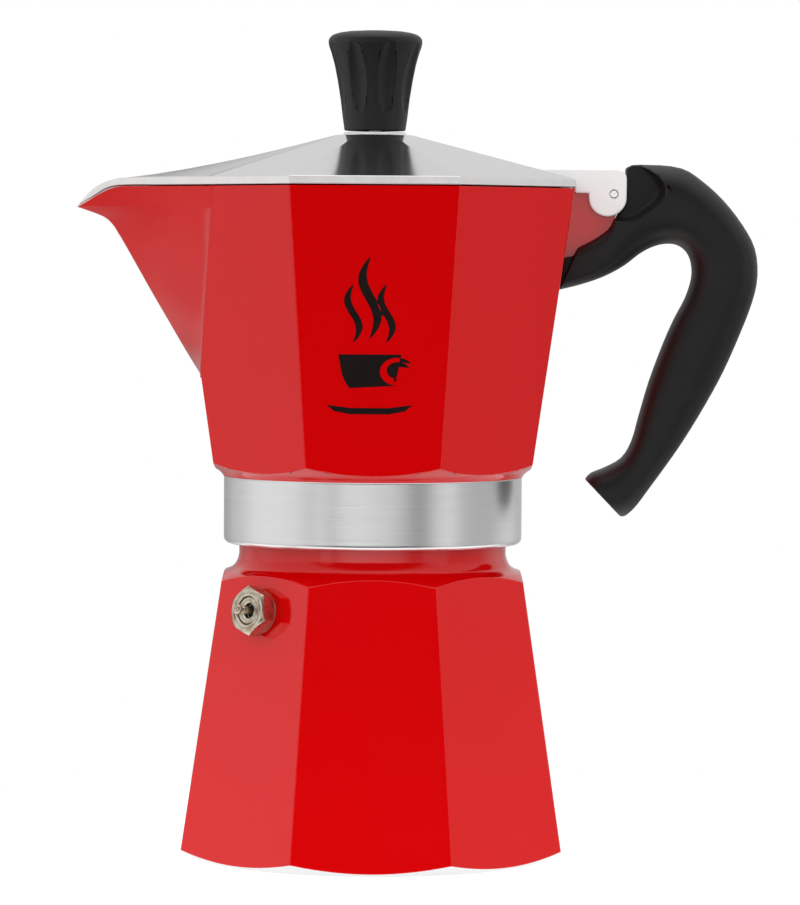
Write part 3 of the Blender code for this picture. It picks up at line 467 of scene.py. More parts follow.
def punched_disc(name, radius, low, high, hole, pitch, rows):
    """A round sheet with a hexagonal field of holes, filled as one flat curve and then thickened."""
    outline = bpy.data.curves.new(name, "CURVE")
    outline.dimensions, outline.fill_mode, outline.extrude = "2D", "BOTH", (high - low) / 2 * MM
    spots = [(0.0, 0.0, radius, 96)]
    for q in range(-rows, rows + 1):
        for s in range(-rows, rows + 1):
            if abs(q + s) <= rows:
                spots.append((pitch * (q + s / 2), pitch * s * math.sqrt(3) / 2, hole, 10))
    for x, y, size, count in spots:
        ring = outline.splines.new("POLY")
        ring.points.add(count - 1)
        for k, point in enumerate(ring.points):
            a = math.tau * k / count
            point.co = ((x + size * math.cos(a)) * MM, (y + size * math.sin(a)) * MM, 0, 1)
        ring.use_cyclic_u = True
    piece = bpy.data.objects.new(name, outline)
    bpy.context.collection.objects.link(piece)
    take(piece)
    bpy.ops.object.convert(target="MESH")
    piece = bpy.context.object
    piece.location.z = (low + high) / 2 * MM
    bpy.ops.object.transform_apply(location=True)
    bpy.ops.object.mode_set(mode="EDIT")
    bpy.ops.mesh.select_all(action="SELECT")
    bpy.ops.mesh.remove_doubles(threshold=1e-6)
    bpy.ops.mesh.normals_make_consistent(inside=False)
    bpy.ops.object.mode_set(mode="OBJECT")
    piece.data.materials.clear()
    piece.data.materials.append(SPUN)
    return piece


sieve = punched_disc("funnel_sieve", 27.3, 74.5, 75.3, 0.55, 2.9, 8)
belongs(soften(sieve, 0.0), "funnel", "bare_aluminium", "funnel_sieve")


# ---------------------------------------------------------------- gasket and filter plate
# A moulded silicone ring holds the punched aluminium filter plate up under the collector.
gasket = turned("gasket", [
    (28.5, 97.0), (28.6, 96.75), (28.9, 96.6), (35.6, 96.6), (35.9, 96.75), (36.0, 97.0), (36.0, 98.4),
    (35.8, 98.6), (36.0, 98.8), (36.0, 100.6), (28.5, 100.6), (28.5, 97.0)], 96, SILICONE)
belongs(soften(gasket, 0.0), "seal", "white_rubber", "gasket")

filter_plate = punched_disc("filter_plate", 32.5, 100.8, 101.6, 0.55, 3.3, 8)
belongs(soften(filter_plate, 0.0), "seal", "bare_aluminium", "filter_plate")


# ---------------------------------------------------------------- collector
# The upper pot: an eight-sided aluminium casting flaring up to its rim, with a pointed spout, a lug
# for the handle and the hinge, and a round skirt turned bright and threaded inside. Lacquered red.
def brushed_band():
    """Fine horizontal brushing over a turned surface, with a few deeper marks and handling smears."""
    metal = Finish("brushed_band", Metallic=1.0)
    fine = metal.noise(5200, 2, (0.012, 0.012, 1))
    marks = metal.noise(1300, 3, (0.03, 0.03, 1))
    smear = metal.noise(55, 2, (1, 1, 0.5))
    colour = metal.colours(marks, (0.90, 0.905, 0.90), (0.80, 0.805, 0.81))
    normal = metal.relief(fine, 0.5, 0.012)
    return metal.paint(Base_Color=colour, Normal=metal.relief(marks, 0.35, 0.012, normal),
                       Roughness=metal.between(0.24, 0.34, smear * 0.5 + fine * 0.5))


def dress(piece, finish, wanted):
    """Give the faces that pass a test another finish."""
    pick(piece, "FACE", wanted)
    if finish.name not in piece.data.materials:
        piece.data.materials.append(finish)
    piece.active_material_index = piece.data.materials.find(finish.name)
    bpy.ops.object.material_slot_assign()
    bpy.ops.object.mode_set(mode="OBJECT")
    return piece


def smooth_line(points, per_span):
    """Fair a line through its points, with some more points in each span."""
    ends, line = [points[0], *points, points[-1]], []
    for a, b, c, d in zip(ends, ends[1:], ends[2:], ends[3:]):
        for step in range(per_span):
            t = step / per_span
            line.append(tuple(0.5 * (2 * q + (r - p) * t + (2 * p - 5 * q + 4 * r - s) * t * t
                                     + (3 * q - p - 3 * r + s) * t ** 3) for p, q, r, s in zip(a, b, c, d)))
    return line + [points[-1]]


def skinned(name, rings, finish):
    """Skin sections of equal point count into one closed shape."""
    cage = bmesh.new()
    loops = [[cage.verts.new(Vector(point) * MM) for point in ring] for ring in rings]
    for low, high in zip(loops, loops[1:]):
        for k in range(len(low)):
            cage.faces.new((low[k - 1], low[k], high[k], high[k - 1]))
    cage.faces.new(loops[0])
    cage.faces.new(loops[-1])
    bmesh.ops.recalc_face_normals(cage, faces=cage.faces)
    shape = bpy.data.meshes.new(name)
    cage.to_mesh(shape)
    cage.free()
    piece = bpy.data.objects.new(name, shape)
    bpy.context.collection.objects.link(piece)
    shape.materials.append(finish)
    return piece


def slab(name, outline, front, back, finish):
    """A side outline of (x, z) points carried across the pot from one y to another."""
    deselect()
    bpy.ops.mesh.primitive_circle_add(vertices=len(outline), radius=MM, fill_type="NGON")
    piece = bpy.context.object
    piece.name = piece.data.name = name
    for vert, (x, z) in zip(piece.data.vertices, outline):
        vert.co = (x * MM, front * MM, z * MM)
    bpy.ops.object.mode_set(mode="EDIT")
    bpy.ops.mesh.select_all(action="SELECT")
    bpy.ops.mesh.extrude_region_move(TRANSFORM_OT_translate={"value": (0, (back - front) * MM, 0)})
    bpy.ops.mesh.select_all(action="SELECT")
    bpy.ops.mesh.normals_make_consistent(inside=False)
    bpy.ops.object.mode_set(mode="OBJECT")
    piece.data.materials.append(finish)
    return piece


def arc(x, z, radius, start, end, count):
    return [(x + radius * math.cos(math.radians(start + (end - start) * k / count)),
             z + radius * math.sin(math.radians(start + (end - start) * k / count)))
            for k in range(count + 1)]


BAND = brushed_band()
BASE, BASE_HALF, RIM, RIM_HALF = 101.0, 41.2, 175.6, 51.8
FLARE = (RIM_HALF - BASE_HALF) / (RIM - BASE)
KEEL = smooth_line([(-45.4, 126.0), (-49.9, 133.0), (-54.4, 140.5), (-58.9, 148.0), (-63.4, 155.8),
                    (-66.6, 161.3),
                    (-68.0, 163.6), (-69.4, 165.7), (-72.0, 167.8), (-78.3, 170.0), (-81.0, 171.2),
                    (-84.0, 177.0)], 3)
SPOUT_LOW, SPOUT_HIGH = Vector((-45.05, 18.66, 128.0)), Vector((-41.7, 31.5, 175.6))


def spout_shape(name, wall, root_scale, low, high, nose, finish):
    """Level sections of the spout: a wedge from the two root corners to a rounded keel."""
    rings = []
    beak_root = 161.3
    for x, z in ([(KEEL[0][0], low)] + [(x, z) for x, z in KEEL if low + 0.2 < z < high - 0.2]
                 + [(None, high)]):
        if x is None:
            x = min(p[0] for p in KEEL if p[1] < high + 2.5)
        root = SPOUT_LOW.lerp(SPOUT_HIGH, (z - SPOUT_LOW.z) / (SPOUT_HIGH.z - SPOUT_LOW.z))
        meet = -66.6 - (z - beak_root) * 0.818 if z > beak_root else x
        beak = x - meet
        meet += wall * math.hypot(root.x - meet, root.y) / root.y
        root = (root + Vector((0.09, 0.09, 0))) * root_scale
        run = [k / 12 * (1 - nose / root.y) for k in range(13)]
        side = [(root.x + (meet - root.x) * s + beak * s ** 4, root.y * (1 - s)) for s in run]
        tip, (nose_x, nose_y) = meet + beak, side[-1]
        peak = tip - 0.3 * (nose_x - tip)
        for k in range(1, 6):
            t = k / 6
            side.append(((1 - t) ** 2 * nose_x + 2 * t * (1 - t) * peak + t * t * nose_x,
                         nose_y * (1 - 2 * t)))
        side = [(root.x * 0.7, root.y * 0.7)] + side
        side += [(px, -py) for px, py in side[len(run)::-1]]
        rings.append([(px, py, z) for px, py in side])
    return skinned(name, rings, finish)


PIN_PLACE, PIN_BORE = (62.7, 174.4), 1.2
LUG = [(46.0, 153.6), (49.0, 154.0), (56.0, 156.0), (59.3, 157.4), (61.2, 158.9), (62.2, 160.6),
       (62.6, 163.0),
       (62.9, 166.0), (63.2, 168.4), (63.8, 169.7), (65.1, 171.4), (65.7, 173.2), (65.75, 175.0),
       (65.3, 176.8),
       (64.2, 178.2), (62.7, 178.7), (61.2, 178.4), (59.9, 177.6), (58.9, 176.3), (57.4, 174.8),
       (46.0, 174.8)]

collector = eight_sided("collector_shell", [(80.0, BASE_HALF), (BASE, BASE_HALF), (RIM, RIM_HALF)], RED, 0.45,
                        -40.0)
work(collector, "INTERSECT", turned("skirt_and_flare", [
    (37.7, 82.2), (38.2, 82.25), (38.6, 82.45), (38.95, 82.8), (39.2, 83.25), (39.3, 83.8), (39.3, 99.4),
    (39.45, 99.8),
    (39.75, 100.25), (40.2, 100.75), (40.7, 101.2), (41.3, 101.6), (43.0, 102.5), (45.2, 103.8),
    (70.0, 118.0),
    (70.0, 179.6)], 160, RED))
work(collector, "DIFFERENCE", slab("spout_room",
                                   [(-45.15, 126.0), (-41.35, 179.6), (-62.0, 179.6), (-62.0, 126.0)],
                                   -40.0, 40.0, RED))
work(collector, "UNION", spout_shape("spout", 0.0, 0.9994, 126.0, RIM, 1.4, RED),
     soften(slab("lug", LUG, -4.0, 4.0, RED), 0.3, 60, 2))

chamber = eight_sided("chamber", [(105.0, BASE_HALF - 3.8), (108.0, BASE_HALF - 2.6 + 7.0 * FLARE),
                                  (RIM + 3.0, RIM_HALF - 2.6 + 3.0 * FLARE)], CAST, 2.0)
work(chamber, "UNION", spout_shape("channel", 2.4, 0.93, 127.4, RIM + 1.2, 0.9, CAST))
work(chamber, "DIFFERENCE", turned("column", [
    (13.0, 104.0), (12.0, 105.0), (10.4, 105.5), (9.3, 106.8), (8.6, 109.5), (7.4, 119.0), (6.3, 149.6),
    (5.9, 150.0)], 96, CAST))
work(collector, "DIFFERENCE", chamber,
     slab("lip", [(-66.0, 175.6), (-68.0, 175.3), (-69.9, 174.7), (-72.6, 173.4), (-75.2, 171.9),
                  (-78.3, 170.2), (-90.0, 163.4),
                  (-90.0, 181.6), (-66.0, 181.6)], -30.0, 30.0, RED),
     turned("seal_room", [(37.1, 79.0), (37.1, 94.4), (36.3, 95.2), (36.3, 100.9), (32.8, 100.9),
                          (32.8, 102.0)],
            128, TURNED),
     turned("throat", [(8.2, 100.0), (8.0, 102.2), (6.5, 105.6), (4.4, 110.0), (4.2, 112.0), (4.2, 152.0)],
            48, CAST),
     slab("pin_hole", arc(*PIN_PLACE, PIN_BORE, 0, 345, 23), -9.0, 9.0, CAST))

SCREW_PLACE = Matrix.Translation(Vector((58.4, 0, 152.3)) * MM) @ Matrix.Rotation(math.radians(-17.0), 4, "Y")


def at_screw(piece):
    """Set a piece made upright at the origin on the handle screw's leaning line."""
    piece.matrix_world = SCREW_PLACE
    take(piece)
    bpy.ops.object.transform_apply(location=True, rotation=True)
    return piece


work(collector, "DIFFERENCE", at_screw(turned("tapped_hole", [(1.8, -2.0), (1.8, 13.5)], 32, CAST)))
dress(collector, BAND, lambda f: f.calc_center_median().z < 99.75 * MM
      and f.calc_center_median().xy.length > 37.6 * MM)
soften(collector, 0.2, 50, 2, 14)
belongs(collector, "collector", "red_lacquered_aluminium", "collector")

skirt_thread = coil("skirt_thread", [(37.4, 83.3), (36.35, 84.15), (36.35, 85.05), (37.4, 85.9)], 4.0, 2.0,
                    TURNED)
belongs(soften(skirt_thread, 0.0), "collector", "bare_aluminium")

column_cap = turned("column_cap", [
    (3.0, 144.0), (3.9, 144.0), (3.9, 150.3), (6.2, 150.3), (6.5, 150.8), (6.5, 153.6), (6.3, 154.6),
    (5.8, 155.4),
    (4.9, 156.2), (3.8, 156.8), (2.0, 157.3), (0.3, 157.4), (0.2, 155.2), (1.4, 154.9), (2.4, 154.4),
    (3.0, 153.6),
    (3.0, 144.0)], 64, TURNED)
work(column_cap, "DIFFERENCE", slab("windows", [(-1.6, 151.4), (1.6, 151.4), (1.6, 153.6), (-1.6, 153.6)],
                                    -9.0, 9.0, TURNED))
belongs(soften(column_cap, 0.12), "collector", "bare_aluminium", "column_cap")


# Printed mark on the front face: a plain cup, saucer and three wisps of steam in black ink, set
# where such pots carry their print. It is a thin skin that lies on the lacquer.
def black_ink():
    ink = Finish("black_ink")
    mottle = ink.noise(900, 3)
    return ink.paint(Base_Color=ink.colours(mottle, (0.006, 0.004, 0.004), (0.016, 0.008, 0.008)),
                     Roughness=ink.between(0.16, 0.30, mottle), Normal=ink.relief(mottle, 0.3, 0.01))


def wisp(x, low, high, sway, width):
    """Outline of one S-shaped wisp, widest in the middle and pointed at both ends."""
    left, right = [], []
    for k in range(25):
        t = k / 24
        middle = x + sway * math.sin(math.tau * t)
        half = width / 2 * math.sin(math.pi * t) ** 0.7 + 0.05
        left.append((middle - half, low + (high - low) * t))
        right.append((middle + half, low + (high - low) * t))
    return left + right[::-1]


cup = [(-8.0, 16.0)] + [(-7.6 * math.cos(math.radians(a)), 16.0 - 11.0 * math.sin(math.radians(a)) ** 0.8)
                        for a in range(8, 173, 8)] + [(8.0, 16.0)]
outlines = [cup, [(7.0 + 4.4 * math.cos(a), 11.6 + 3.6 * math.sin(a)) for a in
                  [math.tau * k / 40 for k in range(40)]],
            [(-11.0, 3.0), (-9.0, 1.4), (-5.0, 0.6), (5.0, 0.6), (9.0, 1.4), (11.0, 3.0), (5.0, 2.2),
             (-5.0, 2.2)],
            wisp(-4.2, 19.0, 34.0, 1.5, 2.0), wisp(0.0, 20.0, 41.0, 1.9, 2.6),
            wisp(4.2, 19.0, 34.0, 1.5, 2.0)]
ink_sheet = bpy.data.curves.new("cup_print", "CURVE")
ink_sheet.dimensions, ink_sheet.fill_mode, ink_sheet.extrude = "2D", "BOTH", 0.025 * MM
holes = [[(7.2 + 2.9 * math.cos(math.tau * k / 40), 11.9 + 2.2 * math.sin(math.tau * k / 40))
          for k in range(40)]]
for outline in outlines + holes:
    line = ink_sheet.splines.new("POLY")
    line.points.add(len(outline) - 1)
    for point, (x, z) in zip(line.points, outline):
        point.co = (x * MM, z * MM, 0, 1)
    line.use_cyclic_u = True
cup_print = bpy.data.objects.new("cup_print", ink_sheet)
bpy.context.collection.objects.link(cup_print)
take(cup_print)
bpy.ops.object.convert(target="MESH")
cup_print = bpy.context.object
PRINT_LOW = 117.0
cup_print.location = (-0.001, -(BASE_HALF + (PRINT_LOW - BASE) * FLARE + 0.03) * MM, PRINT_LOW * MM)
cup_print.rotation_euler = (math.pi / 2 + math.atan(FLARE), 0, 0)
bpy.ops.object.transform_apply(location=True, rotation=True)
cup_print.data.materials.clear()
cup_print.data.materials.append(black_ink())
belongs(cup_print, "collector", "black_plastic")


# ---------------------------------------------------------------- lid
# A die-cast aluminium lid, polished outside: eight sloping sides, one drawn out into a hood over the
# spout, and a forked hinge block behind, turning on a steel pin riveted through the collector's lug.
def polished_lid():
    metal = Finish("polished_aluminium", Metallic=1.0)
    haze = metal.noise(38, 3)
    hairs = metal.noise(900, 3, (0.12, 1, 1))
    pits = metal.noise(3800, 1)
    colour = metal.colours(haze, (0.88, 0.885, 0.895), (0.82, 0.825, 0.84))
    normal = metal.relief(hairs, 0.16, 0.006)
    return metal.paint(Base_Color=colour, Normal=metal.relief(pits, 0.12, 0.004, normal),
                       Roughness=metal.between(0.09, 0.2, haze * 0.5 + hairs * 0.5))


def ground_metal():
    """Duller aluminium, as ground along the lid's rim and on the sides of the hinge block."""
    metal = Finish("ground_aluminium", Metallic=0.5)
    strokes = metal.noise(1600, 3, (0.05, 0.05, 1))
    blots = metal.noise(260, 3)
    colour = metal.colours(blots, (0.90, 0.89, 0.88), (0.80, 0.785, 0.775))
    return metal.paint(Base_Color=colour, Roughness=metal.between(0.30, 0.45, blots),
                       Normal=metal.relief(strokes, 0.5, 0.02))


def painted_reflection_metal():
    """Near-white, barely metallic finish for the hinge block: a painted reflection that stands in for the
    bright light its sides catch.
    """
    metal = Finish("aluminium_painted_reflection", Metallic=0.1)
    stain = metal.noise(140, 3)
    nicks = metal.noise(2400, 2)
    # Near-white base colour: painted reflection, with faint random blotches.
    colour = metal.colours(stain, (0.99, 0.98, 0.975), (0.95, 0.935, 0.93))
    return metal.paint(Base_Color=colour, Roughness=metal.between(0.30, 0.5, stain),
                       Normal=metal.relief(nicks, 0.4, 0.02))


POLISHED, GROUND, PAINTED_REFLECTION = polished_lid(), ground_metal(), painted_reflection_metal()
LID_LOW, LID_HALF, CROWN_HIGH, CROWN = 175.9, 52.0, 189.5, 10.5


def roof(name, inset, drop, low, finish):
    """Half the roof and its hood, mirrored over; an inset and a drop give the hollow under it."""
    scale = 1.0 - inset / LID_HALF
    rim, eave = LID_LOW + 2.1 - drop, LID_HALF / math.cos(math.pi / 8) * scale
    peak = CROWN * (0.8 if inset else 1.0)
    shoulder = Vector((-41.7, 31.5)) * scale * 1.004
    tip = -78.3 + 2.8 * inset

    def round_at(radius, degrees, z):
        return radius * math.cos(math.radians(degrees)), radius * math.sin(math.radians(degrees)), z

    edge = smooth_line([(0.0, 0.0, 0.0), (0.35, 0.0, 0.0), (0.62, -0.15, 0.0), (0.76, -0.9, -0.55),
                        (0.88, -3.0, -2.9), (1.0, -7.6, -5.55)], 4)
    spine = smooth_line([(-10.5, 189.5), (-31.0, 184.3), (-52.0, 179.8), (-65.0, 177.1), (-73.2, 174.6),
                         (-78.3, 170.6)], 4)
    flat = math.cos(math.pi / 8)
    upper = [(eave * flat, 0, rim)] + [round_at(eave, a, rim) for a in (22.5, 67.5, 112.5)]
    lower = [(x, y, low) for x, y, _ in upper]
    crown = [(peak * flat, 0, CROWN_HIGH - drop)] + [round_at(peak, a, CROWN_HIGH - drop)
                                                     for a in (22.5, 67.5, 112.5, 157.5)]
    for t, fall, under in edge:
        x, y = shoulder.x + (tip - shoulder.x) * t, shoulder.y * (1 - t)
        upper.append((x, y, rim + fall))
        lower.append((x, y, low if inset else LID_LOW + under))
    spine = [(x * tip / -78.3, 0, z - drop) for x, z in spine[:-1]] + [upper[-1]]
    shapes = [crown + [spine[0]], [upper[4], spine[0], crown[4]]]
    shapes += [[upper[k], upper[k + 1], crown[k + 1], crown[k]] for k in range(4)]
    shapes += [[upper[k + 4], upper[k + 5], spine[k + 1], spine[k]] for k in range(len(spine) - 2)]
    shapes += [[upper[-2], upper[-1], spine[-2]]]
    shapes += [[upper[k], upper[k + 1], lower[k + 1], lower[k]] for k in range(len(upper) - 1)]
    for a, b in zip(lower[1:], lower[2:]):
        shapes.append([a, b] + ([(b[0], 0, b[2])] if b[1] else []) + [(a[0], 0, a[2])])
    cage = bmesh.new()
    for shape in shapes:
        cage.faces.new([cage.verts.new(Vector(point) * MM) for point in shape])
    bmesh.ops.remove_doubles(cage, verts=cage.verts, dist=1e-6)
    mesh = bpy.data.meshes.new(name)
    cage.to_mesh(mesh)
    cage.free()
    piece = bpy.data.objects.new(name, mesh)
    bpy.context.collection.objects.link(piece)
    take(piece)
    half = piece.modifiers.new("other_half", "MIRROR")
    half.use_axis[0], half.use_axis[1], half.merge_threshold = False, True, 1e-6
    bpy.ops.object.modifier_apply(modifier=half.name)
    bpy.ops.object.mode_set(mode="EDIT")
    bpy.ops.mesh.select_all(action="SELECT")
    bpy.ops.mesh.normals_make_consistent(inside=False)
    bpy.ops.object.mode_set(mode="OBJECT")
    mesh.materials.append(finish)
    return piece


lid = soften(roof("lid_shell", 0.0, 0.0, LID_LOW, POLISHED), 0.25, 9, 3)
work(lid, "UNION", turned("knob_seat", [(8.5, 188.0), (8.4, 189.5), (8.3, 189.9), (8.1, 190.2), (7.8, 190.3)],
                           96, GROUND))
hinge_block = slab("hinge_block", [(43.0, 177.0), (52.4, 177.0), (52.4, 174.6), (56.05, 174.6)]
                   + arc(61.05, 173.5, 5.0, 167, 360, 24)
                   + arc(63.45, 178.3, 2.6, 0, 90, 10) + [(43.0, 180.9)], -7.0, 7.0, POLISHED)
soften(hinge_block, 0.5, 50, 3)
work(hinge_block, "DIFFERENCE",
     slab("fork", [(54.5, 160.0), (70.0, 160.0), (70.0, 190.0), (54.5, 190.0)], -4.3, 4.3, POLISHED),
     slab("under_bridge", [(40.0, 160.0), (56.0, 160.0), (56.0, 175.9), (40.0, 175.9)], -4.3, 4.3, POLISHED),
     slab("pin_bore", arc(*PIN_PLACE, PIN_BORE, 0, 345, 23), -9.0, 9.0, POLISHED))
work(lid, "UNION", hinge_block)
work(lid, "DIFFERENCE", roof("lid_hollow", 3.2, 2.2, 170.0, CAST),
     turned("screw_way", [(2.0, 180.0), (2.0, 195.0)], 32, CAST))
dress(lid, GROUND, lambda f: abs(f.normal.z) < 0.35 and f.calc_center_median().z < 178.3 * MM
      and f.calc_center_median().x < 52.3 * MM)
# The hinge block's faces take the near-white finish, a painted reflection of the bright light they catch.
dress(lid, PAINTED_REFLECTION, lambda f: f.calc_center_median().x > 52.3 * MM
      or (f.calc_center_median().x > 46.0 * MM and f.calc_center_median().z > 178.3 * MM
          and abs(f.normal.y) > 0.5))
soften(lid, 0.0)
belongs(lid, "lid", "bare_aluminium", "lid")

hinge_pin = slab("hinge_pin", arc(*PIN_PLACE, PIN_BORE - 0.1, 0, 350, 35), -6.9, 6.9, TURNED)
belongs(soften(hinge_pin, 0.2, 40, 2), "collector", "steel", "hinge_pin")


# ---------------------------------------------------------------- knob
# A black moulded phenolic knob with eight thumb flutes, a brass insert and a slotted screw from below.
def satin_black():
    plastic = Finish("satin_black_moulding", IOR=1.5)
    grain = plastic.noise(3200, 2)
    sheen = plastic.noise(60, 2)
    rub = plastic.noise(420, 3)
    colour = plastic.colours(rub, (0.004, 0.0038, 0.0038), (0.008, 0.0077, 0.0077))
    return plastic.paint(Base_Color=colour, Roughness=plastic.between(0.42, 0.56, sheen * 0.5 + rub * 0.5),
                         Normal=plastic.relief(grain, 0.45, 0.012))


BLACK = satin_black()
knob = turned("knob_grip", [
    (7.8, 190.7), (8.1, 190.9), (8.15, 191.6), (8.5, 194.0), (9.1, 199.0), (9.9, 204.0), (10.7, 208.0),
    (11.6, 211.2), (12.1, 212.6), (12.3, 213.4), (12.35, 214.0), (12.28, 214.55), (12.0, 215.1),
    (11.5, 215.6),
    (10.8, 216.0), (9.4, 216.4), (7.5, 216.7), (4.0, 216.93), (0.5, 217.0)], 192, BLACK)
for k in range(8):
    deselect()
    bpy.ops.mesh.primitive_uv_sphere_add(segments=48, ring_count=32, radius=MM,
                                         location=(13.0 * MM, 0, 203.2 * MM),
                                         rotation=(0, math.radians(9.5), 0), scale=(4.2, 4.2, 12.5))
    flute = bpy.context.object
    flute.data.materials.append(BLACK)
    flute.matrix_world = Matrix.Rotation(math.radians(-72.5 + 45 * k), 4, "Z") @ flute.matrix_basis
    bpy.ops.object.transform_apply(location=True, rotation=True, scale=True)
    work(knob, "DIFFERENCE", flute)
work(knob, "DIFFERENCE", turned("insert_room", [(3.5, 189.0), (3.5, 203.6)], 48, BLACK))
soften(knob, 0.3, 22, 3)
belongs(knob, "lid", "black_plastic", "knob")

knob_insert = turned("knob_insert", [(1.9, 191.0), (3.2, 191.0), (3.2, 196.0), (2.9, 196.5), (3.2, 197.0),
                                     (3.2, 203.2), (1.9, 203.2), (1.9, 191.0)], 48, BRASS)
belongs(soften(knob_insert, 0.0), "lid", "plated_brass", "knob_insert")

knob_screw = turned("knob_screw", [(2.6, 185.2), (3.1, 185.35), (3.4, 185.8), (3.4, 187.0), (1.6, 187.0),
                                   (1.6, 200.0),
                                   (1.2, 200.6)], 48, STEEL)
work(knob_screw, "DIFFERENCE", slab("driver_slot", [(-5.0, 184.0), (5.0, 184.0), (5.0, 186.0), (-5.0, 186.0)],
                                    -0.45, 0.45, STEEL))
belongs(soften(knob_screw, 0.1), "lid", "steel", "knob_screw")


# ---------------------------------------------------------------- handle
# One black phenolic moulding: cheeks that clasp the lug, a rounded bow and a turned-out foot. A screw
# from below holds it; both cheeks are scooped out round the hinge so that the lid can swing.
HANDLE = [
    (48.6, 149.2, 53.4, 160.3, 8.6, 5.0), (53.5, 150.4, 58.6, 163.1, 8.7, 5.0),
    (58.5, 152.0, 62.4, 166.6, 8.8, 4.6), (62.6, 153.8, 64.4, 174.0, 8.9, 4.0),
    (66.3, 156.0, 66.0, 181.3, 9.0, 3.4), (69.6, 158.6, 72.5, 182.2, 9.1, 3.0),
    (72.8, 160.4, 80.6, 181.4, 9.2, 2.7), (76.2, 161.4, 86.0, 178.2, 9.3, 2.7),
    (79.6, 161.2, 91.8, 173.0, 9.3, 2.7), (82.2, 159.4, 96.8, 166.7, 9.3, 2.7),
    (83.5, 156.4, 100.2, 160.4, 9.2, 2.7), (83.6, 152.4, 101.0, 153.2, 9.1, 2.7),
    (82.0, 147.2, 99.7, 146.4, 9.0, 2.7), (79.0, 141.4, 96.5, 137.8, 8.9, 2.7),
    (76.0, 134.4, 92.2, 127.9, 8.8, 2.7), (72.6, 125.0, 87.4, 118.9, 8.7, 2.7),
    (70.0, 115.9, 81.8, 109.6, 8.6, 2.7), (68.2, 109.4, 77.0, 102.6, 8.6, 2.7),
    (65.6, 105.0, 72.8, 96.8, 8.8, 2.7), (61.4, 102.5, 69.4, 92.2, 9.1, 2.7),
    (57.6, 100.9, 66.8, 89.8, 9.3, 2.7), (56.0, 99.2, 65.3, 89.5, 9.1, 2.7)]

sections = []
for ix, iz, ox, oz, wide, square in smooth_line(HANDLE, 3):
    ring = []
    for step in range(48):
        c, s = math.cos(math.tau * step / 48), math.sin(math.tau * step / 48)
        u, v = math.copysign(abs(c) ** (2 / square), c), math.copysign(abs(s) ** (2 / square), s)
        ring.append(((ix + ox) / 2 + (ox - ix) / 2 * u, wide * v, (iz + oz) / 2 + (oz - iz) / 2 * u))
    sections.append(ring)
handle = skinned("handle_grip", sections, BLACK)
work(handle, "UNION", slab("inner_web", [(48.6, 149.5), (49.75, 157.6), (54.0, 158.6), (54.0, 150.9)],
                           -6.2, 6.2, BLACK))
clasp = [(40.0, 151.9), (49.0, 153.65), (56.0, 155.65), (59.3, 157.05), (61.4, 158.65), (62.55, 160.6),
         (62.95, 163.0),
         (63.25, 166.0), (63.65, 168.4), (64.4, 169.8), (65.8, 171.2), (66.15, 174.4), (66.15, 190.0),
         (40.0, 190.0)]
work(handle, "DIFFERENCE", slab("clasp", clasp, -4.3, 4.3, BLACK))
SCOOP = smooth_line([(57.0, 190.0), (66.0, 190.0), (69.5, 184.0), (72.2, 181.2), (74.6, 178.9), (76.1, 175.8),
                     (75.3, 173.2),
                     (72.5, 170.6), (69.3, 168.2), (66.6, 167.2), (63.7, 167.0), (57.0, 167.0)], 5)
for side in (-1, 1):
    levels = smooth_line([(4.0, 0.80), (4.4, 0.86), (5.4, 0.92), (7.0, 0.965), (9.0, 1.0), (12.0, 1.02)], 3)
    work(handle, "DIFFERENCE", skinned("scoop", [
        [(64.0 + (x - 64.0) * k, side * y, 174.6 + (z - 174.6) * k) for x, z in SCOOP]
        for y, k in levels], BLACK))
work(handle, "DIFFERENCE", at_screw(turned("screw_clearance", [(1.9, -6.0), (1.9, 12.0)], 32, BLACK)),
     at_screw(turned("screw_seat", [(3.5, -6.0), (3.5, 2.8)], 48, BLACK)))
soften(handle, 0.35, 38, 2)
belongs(handle, "collector", "black_plastic", "handle")

handle_screw = turned("handle_screw", [(2.2, 0.3), (2.8, 0.55), (3.1, 1.0), (3.1, 2.5), (1.5, 2.5),
                                       (1.5, 12.0),
                                       (1.1, 12.6)], 48, STEEL)
work(handle_screw, "DIFFERENCE", slab("driver_slot", [(-5.0, -3.0), (5.0, -3.0), (5.0, 1.2), (-5.0, 1.2)],
                                      -0.4, 0.4, STEEL))
belongs(soften(at_screw(handle_screw), 0.1), "collector", "steel", "handle_screw")


# ---------------------------------------------------------------- studio
# A packshot booth: a small pale floor under an even white light tent that is open, and so dark, on
# the camera's side above and below the horizon. Gloss picks that up; the even light does the rest.
deselect()
bpy.ops.mesh.primitive_circle_add(vertices=96, radius=0.17, location=(0, 0, 0), fill_type="NGON")
floor = bpy.context.object
floor.name = "floor"
pale = Finish("pale_floor", Roughness=0.7, Emission_Strength=0.8)
pale.shader.inputs["Emission Color"].default_value = (1, 1, 1, 1)
floor.data.materials.append(pale.paint(Base_Color=pale.colours(pale.noise(40, 2), (0.36, 0.36, 0.36),
                                                                (0.32, 0.32, 0.32))))

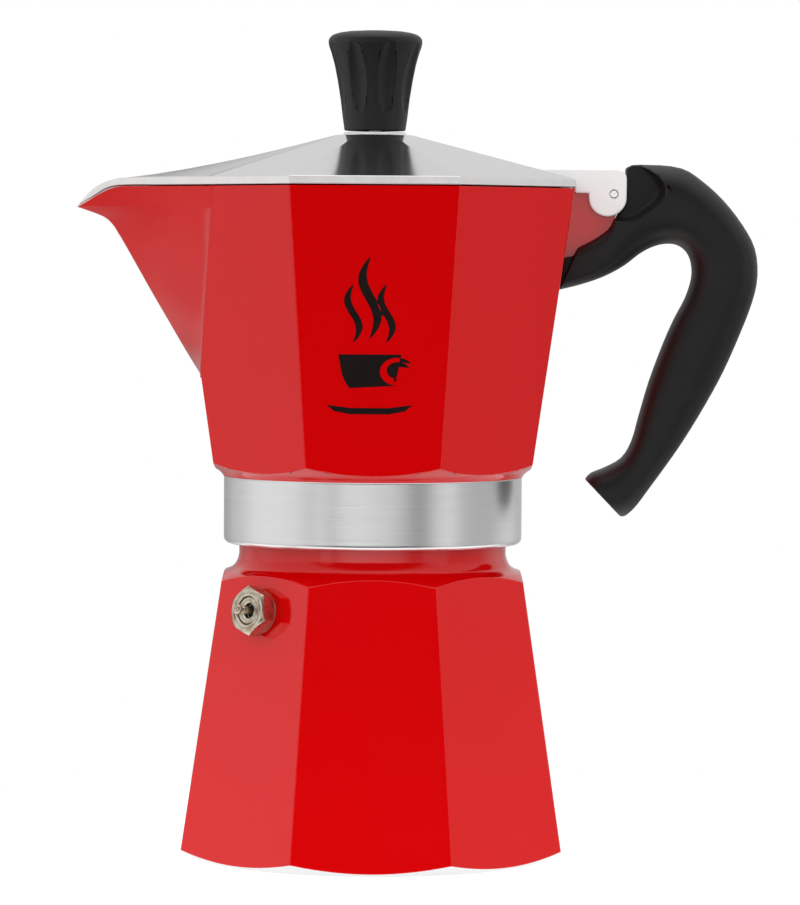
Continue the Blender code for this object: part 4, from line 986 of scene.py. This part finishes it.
world = bpy.data.worlds.new("booth")
bpy.context.scene.world = world
world.use_nodes = True
booth = Nodes(world.node_tree)
direction = booth.node("ShaderNodeTexCoord", {}, {}, "Generated").socket
split = booth.node("ShaderNodeSeparateXYZ", {}, {"Vector": Wire(booth, direction)}).socket.node
across, away, up = (Wire(booth, split.outputs[axis]) for axis in "XYZ")
level = up.maths("ABSOLUTE", up)
ahead = booth.mask(away, -0.45, -0.75)
opening = ahead * booth.mask(level, 0.065, 0.125)
high = booth.mask(up, 0.10, 0.36)
bearing = across.maths("ARCTAN2", across, 0.0 - away)
near_strip = bearing.maths("ABSOLUTE", bearing + 0.70)
far_strip = bearing.maths("ABSOLUTE", bearing - 0.98)
strips = booth.mask(near_strip, 0.12, 0.05) + booth.mask(far_strip, 0.30, 0.10)
low = booth.mask(level, 0.5, 0.2)
sides = booth.between(0.92, 0.50, booth.mask(across, -0.3, 0.5)) + booth.mask(away, -0.82, -0.96) * 0.9
behind = booth.mask(away, 0.2, 0.55) * low
sides = (sides + behind * (booth.mask(across, -0.2, 0.2) * 0.55 - 0.28)
         - booth.mask(away, 0.68, 0.88) * low * 0.25)
sides = sides * booth.between(0.75, 1.0, booth.mask(up, -0.2, 0.05))
tent = sides * (1.0 - high) + high * 0.70
overhead = booth.mask(up, 0.72, 0.92) * 0.7
shade = 1.0 - booth.mask(up, -0.33, -0.5) * 0.25
gloss = (tent + overhead) * (1.0 - opening) * shade + strips * 0.4 * low
camera_ray = booth.node("ShaderNodeLightPath", {}, {}, "Is Camera Ray")
glossy_ray = booth.node("ShaderNodeLightPath", {}, {}, "Is Glossy Ray")
even = booth.between(0.66, 1.16, booth.mask(up, -0.35, 0.35))
light = camera_ray + (1.0 - camera_ray) * (glossy_ray * gloss + (1.0 - glossy_ray) * even)
booth.feed(booth.tree.nodes["Background"].inputs["Strength"], light)
booth.tree.nodes["Background"].inputs["Color"].default_value = (1, 1, 1, 1)

AIM = Vector((0.0071, 0.0, 0.106))
camera_data = bpy.data.cameras.new("camera")
camera_data.lens, camera_data.sensor_width = 179.0, 36.0
camera = bpy.data.objects.new("camera", camera_data)
bpy.context.collection.objects.link(camera)
camera.location = (0.0, -1.187, 0.158)
camera.rotation_euler = (AIM - camera.location).to_track_quat("-Z", "Y").to_euler()
camera.rotation_euler.rotate_axis("Z", math.radians(0.35))
bpy.context.scene.camera = camera
bpy.context.scene.view_settings.view_transform = "Standard"
